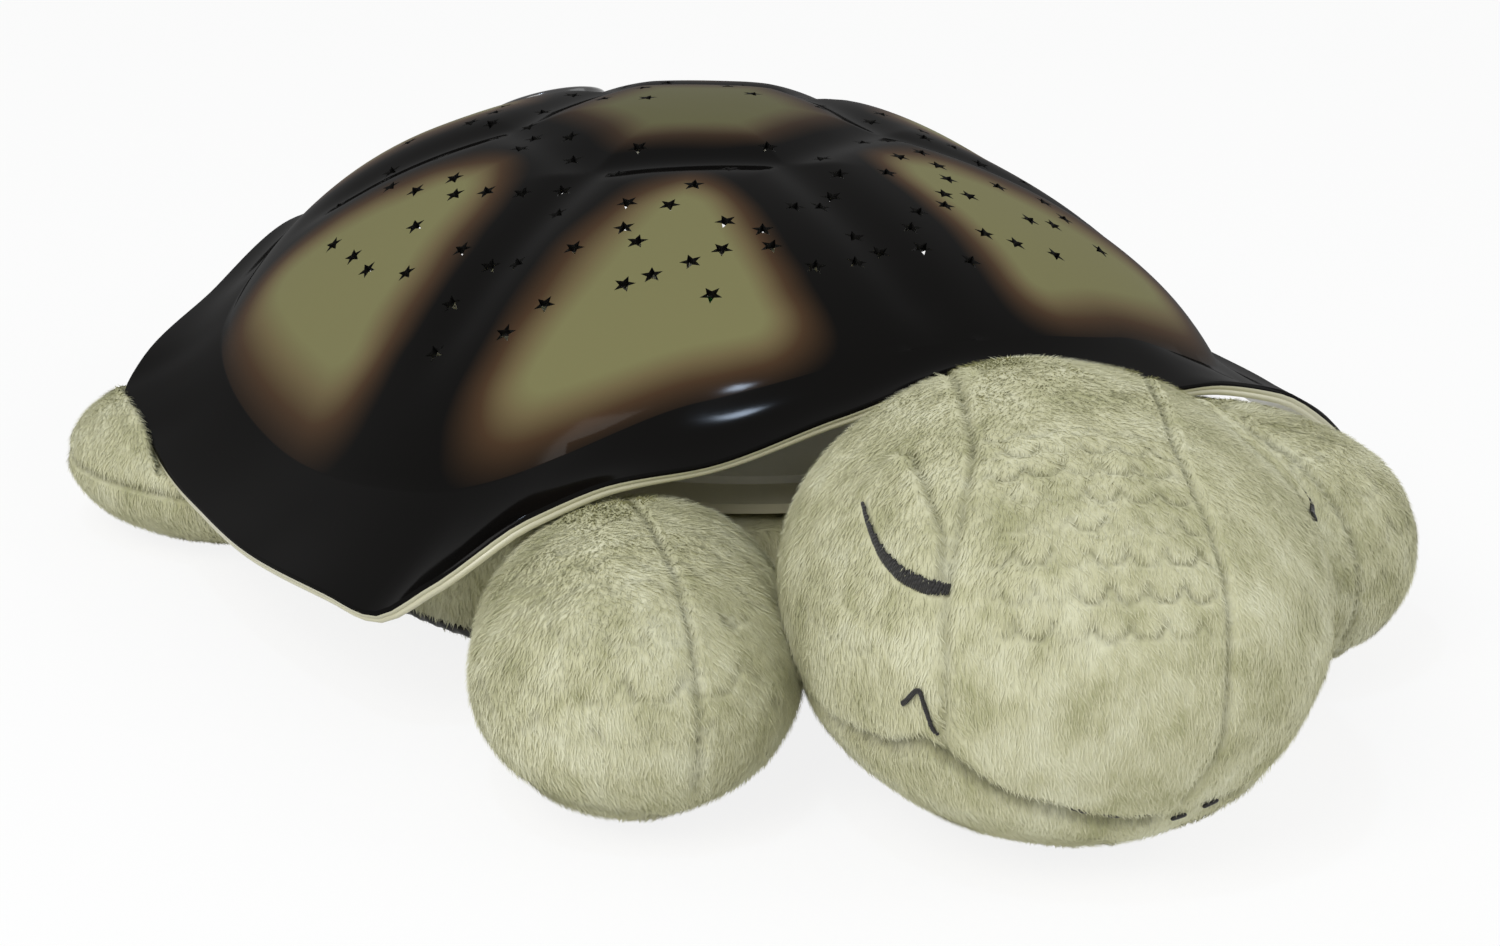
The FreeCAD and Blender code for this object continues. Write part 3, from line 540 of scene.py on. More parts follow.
def wobble(points: np.ndarray, size_mm: float, seed: float) -> np.ndarray:
    """Smooth noise at each point, from about -1 to 1.

    Args:
        points: Places in millimetres.
        size_mm: The width of one bump.
        seed: An offset that gives another pattern.

    Returns:
        One value for each point.
    """
    shift = Vector((seed, seed * 1.7, seed * 0.6))
    return np.array([noise.noise(Vector(p) / size_mm + shift) for p in points])


def unit(vectors: np.ndarray) -> np.ndarray:
    """Scale each row to length 1."""
    return vectors / np.maximum(np.linalg.norm(vectors, axis=-1, keepdims=True), 1e-9)


def smooth_step(values: np.ndarray, low: float, high: float) -> np.ndarray:
    """Ease from 0 at low to 1 at high."""
    t = np.clip((values - low) / (high - low), 0.0, 1.0)
    return t * t * (3 - 2 * t)


def groove(distance: np.ndarray, width: float) -> np.ndarray:
    """A soft-edged line: 1 on it and 0 beyond its width."""
    return np.exp(-(distance / width) ** 2)


def ring_value(controls: Line, angle: float) -> float:
    """Smooth value at an angle from (angle, value) pairs that both sides share.

    Args:
        controls: Pairs from 0 at the head to 180 at the tail.
        angle: Degrees from the head.

    Returns:
        The interpolated value.
    """
    a = abs((angle + 180.0) % 360.0 - 180.0)
    line = [(-x, y) for x, y in controls[:0:-1]] + list(controls)
    line += [(360.0 - x, y) for x, y in controls[-2::-1]]
    i = max(k for k in range(len(line) - 1) if line[k][0] <= a)
    i = min(max(i, 1), len(line) - 3)
    slopes = [(line[k + 1][1] - line[k][1]) / (line[k + 1][0] - line[k][0]) for k in (i - 1, i, i + 1)]
    first, second = (0.0 if p * q <= 0 else 2 * p * q / (p + q) for p, q in zip(slopes, slopes[1:]))
    width = line[i + 1][0] - line[i][0]
    t = (a - line[i][0]) / width
    rise = line[i][1] * (1 + 2 * t) * (1 - t) ** 2 + line[i + 1][1] * t * t * (3 - 2 * t)
    return rise + width * first * t * (1 - t) ** 2 - width * second * t * t * (1 - t)


@dataclass
class ShellShape:
    """The shell's surface: rings round it and a domed profile, with grooves between its panels."""

    top: float = 111.4
    cap: float = 6.0
    bulge: float = 0.926
    wall: float = 2.4
    rim_wall: float = 3.6
    sag: float = 1.6
    groove: float = 2.6
    groove_width: float = 8.5
    hexagon: float = 48.0
    hexagon_y: float = 17.0
    # Rings are pairs of degrees from the head and millimetres, which both sides share.
    rim_radius: tuple = ((0, 123), (15, 124), (30, 128), (38, 134), (45, 147), (52, 160), (57, 163),
                         (62, 160), (75, 152), (90, 147), (105, 149), (113, 154), (118, 157), (123, 154),
                         (135, 145), (150, 142), (180, 146))
    rim_height: tuple = ((0, 84), (15, 76.5), (30, 65.5), (38, 63), (45, 57), (52, 42), (57, 33), (62, 33.5),
                         (75, 31), (90, 30), (105, 31), (113, 32), (118, 33), (123, 38), (135, 47),
                         (150, 57), (180, 54))
    crease_radius: tuple = ((0, 112), (30, 114), (60, 129), (90, 125), (120, 131), (150, 123), (180, 128))
    crease_height: tuple = ((0, 87), (30, 76), (60, 50), (90, 41), (120, 50), (150, 69), (180, 68))

    def rings(self, angles: np.ndarray) -> list[np.ndarray]:
        """Rim radius, rim height, crease radius and crease height at each angle."""
        rows = (self.rim_radius, self.rim_height, self.crease_radius, self.crease_height)
        return [np.array([ring_value(row, float(a)) for a in angles]) for row in rows]

    def surface(self, angles: np.ndarray, rows: np.ndarray) -> np.ndarray:
        """Outer surface on a grid.

        Args:
            angles: Degrees from the head.
            rows: 0 to 1 over the dome and 1 to 2 over the flange.

        Returns:
            Points in millimetres, by angle and then by row.
        """
        rim_r, rim_z, crease_r, crease_z = (v[:, None] for v in self.rings(angles))
        share = np.clip(rows, 0, 1)[None, :]
        out = np.clip(rows - 1, 0, 1)[None, :]
        flat = math.sqrt(1 - self.bulge ** 2)
        rise = (np.sqrt(1 - (self.bulge * share) ** 2) - flat) / (1 - flat)
        radius = crease_r * share
        height = crease_z + (self.top - crease_z) * rise - self.valley(angles[:, None], radius)
        radius = np.where(out > 0, crease_r * (1 - out) + rim_r * out, radius)
        flange = crease_z * (1 - out) + rim_z * out - self.sag * np.sin(np.pi * out)
        height = np.where(out > 0, flange, height)
        turn = np.radians(angles)[:, None]
        return np.stack([np.sin(turn) * radius, -np.cos(turn) * radius, height], -1)

    def valley(self, angles: np.ndarray, radius: np.ndarray) -> np.ndarray:
        """Depth of the grooves: six spokes outside the top hexagon, and its sides."""
        x, y = np.sin(np.radians(angles)) * radius, -np.cos(np.radians(angles)) * radius - self.hexagon_y
        reach = np.hypot(x, y)
        spoke = np.radians(np.abs((np.degrees(np.arctan2(x, -y)) + 30.0) % 60.0 - 30.0))
        half = math.radians(30.0)
        across = reach * np.cos(half - spoke)
        apothem = self.hexagon * math.cos(half)
        side = np.abs(across - apothem)
        line = np.where(across > apothem, reach * np.sin(spoke), 1e3)
        near = np.minimum(side, line)
        fade = (1 - smooth_step(radius, 96.0, 122.0)) * smooth_step(radius, self.cap, self.cap + 12.0)
        return self.groove * fade * np.exp(-(near / self.groove_width) ** 2)

    def underside(self, points: np.ndarray) -> np.ndarray:
        """Height of the shell's lower face above each plan point, and a large value outside the rim."""
        table = np.arange(0.0, 361.0, 1.0)
        rim_r, rim_z, crease_r, crease_z = self.rings(table)
        angle = np.degrees(np.arctan2(points[:, 0], -points[:, 1])) % 360.0
        radius = np.hypot(points[:, 0], points[:, 1])
        near, far = np.interp(angle, table, crease_r), np.interp(angle, table, rim_r)
        high, low = np.interp(angle, table, crease_z), np.interp(angle, table, rim_z)
        share = np.clip((radius - near) / (far - near), 0.0, 1.0)
        height = high * (1 - share) + low * share - self.sag * np.sin(np.pi * share) - self.rim_wall * 1.15
        return np.where(radius > far + 1.0, 1e3, height)


def lay_pile(mesh: Mesh, points: np.ndarray, normals: np.ndarray, comb: Sequence[float], stray: float,
             seeds: Sequence[float], shade: np.ndarray, cover: np.ndarray) -> None:
    """Store which way the pile lies, how much painted shade it gets and how much there is, for each vertex.

    Args:
        mesh: The plush surface.
        points: Its vertices in millimetres.
        normals: Their unit normals.
        comb: Where the pile is brushed to.
        stray: How far it strays from there.
        seeds: Three seeds, one for each axis of the straying.
        shade: Painted shade at each vertex, 0 to 1.
        cover: Amount of pile at each vertex, 0 to 1.
    """
    way = np.array(comb)[None, :] + stray * np.stack([wobble(points, STRAY_MM, k) for k in seeds], 1)
    flow = unit(way - normals * (way * normals).sum(1, keepdims=True))
    for name, values in (("flow", flow), ("shade", shade), ("pile", cover)):
        set_attribute(mesh, name, values)


def as_third_slot(cutter: Object) -> Object:
    """Give a cutter's faces the third material slot, which the boolean carries over by number."""
    wall = cutter.data.materials[0]
    cutter.data.materials.clear()
    for _ in range(3):
        cutter.data.materials.append(wall)
    cutter.data.polygons.foreach_set("material_index", [2] * len(cutter.data.polygons))
    return cutter


@dataclass
class StarHoles:
    """Where the star-shaped holes are, and the prisms that cut them."""

    count: int = 168
    radius: float = 2.9
    waist: float = 1.25
    low: float = 0.16
    high: float = 0.80
    # Each star is turned on by the golden angle, which spreads them evenly.
    golden: float = 137.508
    post_ring: float = 96.0
    post_gap: float = 7.9
    panel_gap: float = 22.8
    own_gap: float = 6.8
    depth: float = 8.0
    sunk: float = 4.0
    turn_step: float = 47.0
    wander: float = 7.0
    share_wander: float = 0.02

    def places(self, shape: ShellShape, panel: "ButtonPanel") -> tuple[np.ndarray, np.ndarray, np.ndarray]:
        """Centre, outward normal and turn in degrees of each hole."""
        points, normals, turns = [], [], []
        for k in range(self.count):
            share = self.low + (self.high - self.low) * math.sqrt((k + 0.5) / self.count)
            share += self.share_wander * math.sin(k * 78.233)
            angle = k * self.golden + self.wander * math.sin(k * 12.9898)
            patch = shape.surface(angle + np.array([-0.3, 0.0, 0.3]), share + np.array([-0.01, 0.0, 0.01]))
            normal = np.cross(patch[2, 1] - patch[0, 1], patch[1, 2] - patch[1, 0])
            normal = normal / np.linalg.norm(normal) * (1 if normal[2] > 0 else -1)
            point = patch[1, 1]
            post = self.post_ring * 0.7071
            near_post = math.hypot(abs(point[0]) - post, abs(point[1]) - post) < self.post_gap
            near_panel = np.linalg.norm(point - panel.centre()) < self.panel_gap
            near_star = any(np.linalg.norm(point - other) < self.own_gap for other in points)
            if near_post or near_panel or near_star:
                continue
            points.append(point)
            normals.append(normal)
            turns.append(self.turn_step * k)
        return np.array(points), np.array(normals), np.array(turns)

    def cutter(self, shape: ShellShape, panel: "ButtonPanel", wall: Material) -> Object:
        """Star prisms on every place, made by geometry nodes."""
        points, normals, turns = self.places(shape, panel)
        obj = mesh_object("star_cutter", points, [], [wall])
        set_attribute(obj.data, "outward", normals)
        set_attribute(obj.data, "turn", np.radians(turns))
        group = NodeGroup("star_prisms", {"Radius": "Float", "Waist": "Float", "Depth": "Float"})
        given = group.given
        star = group.add("GeometryNodeCurveStar", {
            "Points": 5, "Outer Radius": given["Radius"], "Inner Radius": given["Waist"], "Twist": 0.0})
        face = group.add("GeometryNodeFillCurve", {"Curve": star}, "Mesh", mode="NGONS")
        low = group.add("GeometryNodeTransform", {"Geometry": face, "Translation": (0, 0, -self.sunk * MM)})
        prism = group.add("GeometryNodeExtrudeMesh", {
            "Mesh": low, "Offset Scale": given["Depth"], "Individual": False}, "Mesh", mode="FACES")
        closed = group.join(group.add("GeometryNodeFlipFaces", {"Mesh": low}), prism)
        welded = group.add("GeometryNodeMergeByDistance", {"Geometry": closed, "Distance": 1e-6})
        outward = group.attribute("outward", "FLOAT_VECTOR")
        placed = group.turned(group.facing(outward), group.vector(Z=group.attribute("turn")))
        group.close(group.copies(given["Geometry"], welded, placed), wall)
        return as_third_slot(group.run(obj, {
            "Radius": self.radius * MM, "Waist": self.waist * MM, "Depth": self.depth * MM}))


@dataclass
class ButtonPanel:
    """The round button panel on the rear slope: only its place, for the opening in the shell."""

    y: float = 112.0
    z: float = 82.4
    tilt: float = 33.0
    opening: float = 18.15
    reach: float = 14.0
    steps: int = 96

    def centre(self) -> np.ndarray:
        """Middle of the panel."""
        return np.array([0.0, self.y, self.z])

    def axis(self) -> Vector:
        """Unit vector out of the panel."""
        return Vector((0, math.sin(math.radians(self.tilt)), math.cos(math.radians(self.tilt))))

    def cutter(self, wall: Material) -> Object:
        """Cylinder that cuts the opening."""
        steps = self.steps
        turn = self.axis().to_track_quat("Z", "Y").to_matrix()
        middle = Vector(self.centre())
        points = []
        for height in (-self.reach, self.reach):
            for k in range(steps):
                a = 2 * math.pi * k / steps
                corner = Vector((self.opening * math.cos(a), self.opening * math.sin(a), height))
                points.append(middle + turn @ corner)
        faces = [[k, (k + 1) % steps, (k + 1) % steps + steps, k + steps] for k in range(steps)]
        faces += [list(range(steps))[::-1], list(range(steps, 2 * steps))]
        return as_third_slot(mesh_object("panel_cutter", np.array(points), faces, [wall]))


@dataclass
class StarShell:
    """The hard domed shell: sprayed outside, bare pale plastic inside and along its edge, and near black on
    the walls of its holes, which paints the shade in them.
    """

    shape: ShellShape = field(default_factory=ShellShape)
    stars: StarHoles = field(default_factory=StarHoles)
    panel: ButtonPanel = field(default_factory=ButtonPanel)
    columns: int = 288
    dome_rows: int = 62
    flange_rows: int = 14
    band_rows: int = 9
    painted_band: int = 2
    edge_groove: float = 0.45
    edge_swell: float = 0.55
    crease_rows: tuple = (0.985, 1.0, 1.03, 1.08)

    def build(self, paint: Material, bare: Material, dark: Material) -> Object:
        """Mesh the shell, cut its holes and dress it."""
        obj = self.skin(paint, bare)
        obj.data.materials.append(dark)
        for cutter in (self.stars.cutter(self.shape, self.panel, dark), self.panel.cutter(dark)):
            modifier = obj.modifiers.new("cut", "BOOLEAN")
            modifier.operation = "DIFFERENCE"
            modifier.solver = "MANIFOLD"
            modifier.object = cutter
            obj = applied(obj, "star_shell_skin")
            bpy.data.objects.remove(cutter)
        smooth_shaded(obj.data)
        obj.data.set_sharp_from_angle(angle=math.radians(32))
        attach(obj, ROOT)
        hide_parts("star_shell")
        return obj

    def skin(self, paint: Material, bare: Material) -> Object:
        """Closed skin before the holes: outside, rounded edge band and inside."""
        shape = self.shape
        angles = np.arange(self.columns) * 360.0 / self.columns
        first = shape.cap / 130.0
        rows = np.concatenate([np.linspace(first, 0.97, self.dome_rows), self.crease_rows,
                               np.linspace(1.15, 2.0, self.flange_rows)])
        outer = shape.surface(angles, rows)
        outer[:, 0, 2] = shape.top
        around = np.roll(outer, -1, 0) - np.roll(outer, 1, 0)
        along = np.gradient(outer, axis=1)
        normal = unit(np.cross(around, along))
        normal *= np.sign(normal[..., 2:3])
        wall = shape.wall + (shape.rim_wall - shape.wall) * smooth_step(rows, 1.4, 1.9)
        inner = outer - normal * wall[None, :, None]
        inner[:, 0] = outer[:, 0] - [0, 0, shape.wall]
        edge = unit(along[:, -1])
        share = (np.arange(self.band_rows) + 1) / (self.band_rows + 1)
        swell = self.edge_swell * np.sqrt(1 - (2 * share - 1) ** 2)
        swell = swell - self.edge_groove * groove(share - 0.6, 0.09)
        band = (outer[:, -1, None] * (1 - share)[None, :, None] + inner[:, -1, None] * share[None, :, None]
                + edge[:, None] * swell[None, :, None])
        grid = np.concatenate([outer, band, inner[:, ::-1]], 1)
        count = grid.shape[1]
        points = np.concatenate([grid.reshape(-1, 3), [[0, 0, shape.top], [0, 0, shape.top - shape.wall]]])
        faces, slots = [], []
        for i in range(self.columns):
            j = (i + 1) % self.columns
            for k in range(count - 1):
                faces.append((i * count + k, i * count + k + 1, j * count + k + 1, j * count + k))
                slots.append(0 if k < len(rows) + self.painted_band else 1)
            faces.append((i * count, j * count, len(points) - 2))
            slots.append(0)
            faces.append((j * count + count - 1, i * count + count - 1, len(points) - 1))
            slots.append(1)
        obj = mesh_object("star_shell_skin", points, faces, [paint, bare])
        obj.data.polygons.foreach_set("material_index", slots)
        self.lay_map(obj.data, rows)
        face_outward(obj.data)
        return obj

    def lay_map(self, mesh: Mesh, rows: np.ndarray) -> None:
        """Store each vertex's row on the shell, halved, as the V of a UV map."""
        level = np.concatenate([rows, np.full(self.band_rows, 2.0), rows[::-1]])
        value = np.concatenate([np.tile(level, self.columns), [0.0, 0.0]]) / 2
        corner = np.empty(len(mesh.loops), dtype=np.int32)
        mesh.loops.foreach_get("vertex_index", corner)
        pairs = np.stack([np.full(len(corner), 0.5), value[corner]], 1)
        layer = mesh.uv_layers.new(name="shell_map")
        layer.data.foreach_set("uv", pairs.astype(np.float32).ravel())


class PileTree(NodeGroup):
    """Geometry nodes that stand short blades of pile on a plush surface."""

    def __init__(self) -> None:
        """Build the shared tree once."""
        kinds = dict.fromkeys(("Density", "Length", "Width", "Lift"), "Float")
        super().__init__("short_pile", {**kinds, "Seed": "Int", "Material": "Material"})
        given = self.given
        density = self.math("MULTIPLY", given["Density"], self.attribute("pile"))
        roots = self.add("GeometryNodeDistributePointsOnFaces", {
            "Mesh": given["Geometry"], "Density": density, "Seed": given["Seed"]}, "Points")
        comb = self.facing(roots.node.outputs["Normal"], self.attribute("flow", "FLOAT_VECTOR"))
        lift = self.math("MULTIPLY", self.chance(0.55, 1.5, given["Seed"]), given["Lift"])
        down, sway = self.math("MULTIPLY", lift, -1.0), self.chance(-0.45, 0.45, 7)
        placed = self.turned(comb, self.vector(Y=down, Z=sway))
        blade = self.add("GeometryNodeMeshCircle", {"Vertices": 3, "Radius": 1.0}, fill_type="NGON")
        moved = self.add("GeometryNodeTransform", {"Geometry": blade, "Translation": (0.5, 0, 0)})
        share = self.math("DIVIDE", self.axis(self.add("GeometryNodeInputPosition"), "X"), 1.5)
        tip = {"Geometry": moved, "Name": "tip", "Value": share}
        marked = self.add("GeometryNodeStoreNamedAttribute", tip, data_type="FLOAT", domain="POINT")
        long, wide = self.math("DIVIDE", given["Length"], 1.5), self.math("DIVIDE", given["Width"], 1.732)
        size = self.vector(X=long, Y=wide, Z=1.0)
        sized = self.add("GeometryNodeTransform", {"Geometry": marked, "Scale": size})
        blades = self.copies(roots, sized, placed, Scale=self.chance(0.7, 1.3, 3))
        self.close(self.join(given["Geometry"], blades), given["Material"])

    def grow(self, obj: Object, density_mm2: float, length: float, width: float, lift: float, seed: int,
             material: Material) -> Object:
        """Stand pile on an object and make it a plain mesh.

        Args:
            obj: Object with the attributes pile, flow and shade.
            density_mm2: Blades for each square millimetre.
            length: Blade length in millimetres.
            width: Blade width in millimetres.
            lift: Mean angle of the blades off the surface, in radians.
            seed: Seed of the scatter.
            material: The plush.

        Returns:
            The object with its pile.
        """
        return self.run(obj, {"Density": density_mm2 / MM ** 2, "Length": length * MM, "Width": width * MM,
                              "Lift": lift, "Seed": seed, "Material": material})


class StitchTree(NodeGroup):
    """Geometry nodes that lay one thread across a line at each of its points."""

    def __init__(self) -> None:
        """Build the shared tree once."""
        super().__init__("satin_stitch", {"Thread": "Float", "Material": "Material"})
        given = self.given
        across, outward = (self.attribute(name, "FLOAT_VECTOR") for name in ("across", "outward"))
        bead = self.add("GeometryNodeMeshUVSphere", {"Segments": 8, "Rings": 6, "Radius": 1.0})
        size = self.vector(X=self.attribute("reach"), Y=given["Thread"], Z=given["Thread"])
        copies = self.copies(given["Geometry"], bead, self.facing(outward, across), Scale=size)
        self.close(copies, given["Material"], smooth=True)

    def sew(self, name: str, points: np.ndarray, outward: np.ndarray, across: np.ndarray, reach: np.ndarray,
            thread_mm: float, material: Material) -> Object:
        """Lay threads at points.

        Args:
            name: The piece's name.
            points: Middle of each thread, in millimetres.
            outward: Unit normal under each thread.
            across: Direction of each thread.
            reach: Half length of each thread in millimetres.
            thread_mm: Half thickness of the thread.
            material: The thread's material.

        Returns:
            The threads as one plain mesh.
        """
        obj = mesh_object(name, points, [], [material])
        for key, values in (("outward", outward), ("across", across), ("reach", reach * MM)):
            set_attribute(obj.data, key, values)
        return self.run(obj, {"Thread": thread_mm * MM, "Material": material})


@dataclass
class Sculpt:
    """What a form's own sculpting gives for each vertex."""

    push: np.ndarray
    # shade is painted shade: how much darker the colour is made in seams, folds and pressed lines.
    shade: np.ndarray
    cover: np.ndarray


@dataclass
class StuffedForm:
    """A stuffed, swelling piece of the turtle: oval across and rounded at both ends."""

    node: str
    centre: tuple[float, float]
    # Half the width, the reach ahead, the reach behind and half the height.
    half: tuple[float, float, float, float]
    turn: float
    detail: int = 6
    seed: int = 1
    power: float = 2.3
    seat: float = 0.5
    lumps: float = 0.7
    comb: tuple[float, float, float] = (0.0, -0.4, -1.0)
    density: float = 2.4
    pile_length: float = 2.0
    # A blade stands for a tuft of fibres, each of which would be too thin to show.
    pile_width: float = 0.36
    fill: float = 0.8
    pile_lift: float = 0.3
    lump_mm: tuple[float, float] = (24.0, 8.0)
    stray: float = 0.55
    floor_gap: float = 0.15
    flange_gap: float = 1.2
    tree: BVHTree | None = None

    def local_points(self, directions: np.ndarray) -> np.ndarray:
        """Where rays from the middle leave the form, in its own turned axes."""
        width, front, back, height = self.half
        length = np.where(directions[:, 1] < 0, front, back)
        across = (directions[:, 0] / width) ** 2 + (directions[:, 2] / height) ** 2
        value = (np.abs(directions[:, 1]) / length) ** self.power + across ** (self.power / 2)
        return directions * value[:, None] ** (-1 / self.power)

    def to_world(self, local: np.ndarray) -> np.ndarray:
        """Turn and move local points into the shared frame."""
        c, s = math.cos(math.radians(self.turn)), math.sin(math.radians(self.turn))
        x = local[:, 0] * c - local[:, 1] * s + self.centre[0]
        y = local[:, 0] * s + local[:, 1] * c + self.centre[1]
        return np.stack([x, y, local[:, 2] + self.half[3] - self.seat], 1)

    def sculpt(self, local: np.ndarray) -> Sculpt:
        """Seams, folds and embossing; a plain form has none."""
        zero = np.zeros(len(local))
        return Sculpt(zero, zero.copy(), np.ones(len(local)))

    def build(self, shell: ShellShape, pile: PileTree, material: Material) -> Object:
        """Mesh the form, sculpt it, seat it and give it its pile."""
        work = bmesh.new()
        bmesh.ops.create_icosphere(work, subdivisions=self.detail, radius=1.0)
        directions = unit(np.array([v.co[:] for v in work.verts]))
        faces = [[v.index for v in f.verts] for f in work.faces]
        work.free()
        local = self.local_points(directions)
        world = self.to_world(local)
        result = self.sculpt(local)
        long = (self.half[1] * 0.5 + self.half[2] * 0.5) ** 2
        outward = unit(local / np.array([self.half[0] ** 2, long, self.half[3] ** 2]))
        outward = self.to_world(outward) - self.to_world(np.zeros((1, 3)))
        large, small = self.lump_mm
        swell = wobble(world, large, self.seed) + 0.45 * wobble(world, small, self.seed + 9)
        soft = self.lumps * swell - 0.3
        world = world + outward * (soft + result.push)[:, None]
        world = self.seated(world, shell)
        obj = mesh_object(self.node + "_plush", world, faces, [material])
        smooth_shaded(obj.data)
        normals = vertex_array(obj.data, "normal")
        self.tree = BVHTree.FromPolygons([Vector(p) for p in world], faces)
        lay_pile(obj.data, world, normals, self.comb, self.stray, [self.seed + k for k in (20, 30, 40)],
                 result.shade, result.cover * (world[:, 2] > 1.0))
        blade = (self.density, self.pile_length, self.pile_width, self.pile_lift)
        obj = pile.grow(obj, *blade, self.seed, material)
        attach(obj, ROOT)
        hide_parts(self.node)
        return obj

    def seated(self, world: np.ndarray, shell: ShellShape) -> np.ndarray:
        """Flatten the form on the floor and press it down under the shell's flange."""
        world = world.copy()
        world[:, 2] = np.maximum(world[:, 2], self.floor_gap)
        limit = shell.underside(world) - self.flange_gap
        world[:, 2] = np.minimum(world[:, 2], np.maximum(limit, 0.2))
        return world

    def hit(self, longitude: float, latitude: float) -> tuple[np.ndarray, np.ndarray]:
        """Place and normal of the finished surface in a direction from the middle.

        Args:
            longitude: Degrees from the form's own front, positive to its left.
            latitude: Degrees above its middle.

        Returns:
            The point in millimetres and the unit normal.
        """
        lon, lat = math.radians(longitude), math.radians(latitude)
        local = np.array([[math.sin(lon) * math.cos(lat), -math.cos(lon) * math.cos(lat), math.sin(lat)]])
        middle = self.to_world(np.zeros((1, 3)))[0]
        ray = self.to_world(local)[0] - middle
        start = Vector(middle + ray * 200.0)
        place, normal, _, _ = self.tree.ray_cast(start, Vector(-ray))
        normal = normal if normal.dot(Vector(ray)) > 0 else -normal
        return np.array(place), np.array(normal)


def scale_rows(u: np.ndarray, v: np.ndarray, wide: float, tall: float, seed: float) -> np.ndarray:
    """Embossed rows of hanging scale arcs.

    Args:
        u: Millimetres across the rows.
        v: Millimetres up the rows.
        wide: Width of one scale.
        tall: Height of one row.
        seed: Chooses which scales are faint.

    Returns:
        Depth of the pressed line, 0 to 1.
    """
    row = np.floor(v / tall)
    shift = u / wide + 0.5 * (row % 2)
    cell = np.floor(shift)
    side = (shift - cell - 0.5) * wide
    rise = v - row * tall
    radius = wide * 0.46
    middle = radius + 0.4
    ring = np.abs(np.hypot(side, rise - middle) - radius)
    line = groove(ring, 0.62) * smooth_step(-(rise - middle), -1.0, 1.0)
    chance = np.abs(np.sin(cell * 12.99 + row * 78.23 + seed) * 43758.5) % 1.0
    return line * (0.35 + 0.65 * smooth_step(chance, 0.15, 0.6))


def line_distance(longitude: np.ndarray, latitude: np.ndarray, line: Line, scale: float) -> np.ndarray:
    """Distance in millimetres from each direction to a line of (longitude, latitude) points."""
    best = np.full(len(longitude), 1e3)
    for (a0, b0), (a1, b1) in zip(line, line[1:]):
        squash = math.cos(math.radians((b0 + b1) / 2))
        px, py = (longitude - a0) * squash, latitude - b0
        qx, qy = (a1 - a0) * squash, b1 - b0
        t = np.clip((px * qx + py * qy) / (qx * qx + qy * qy), 0, 1)
        best = np.minimum(best, np.hypot(px - t * qx, py - t * qy))
    return best * scale


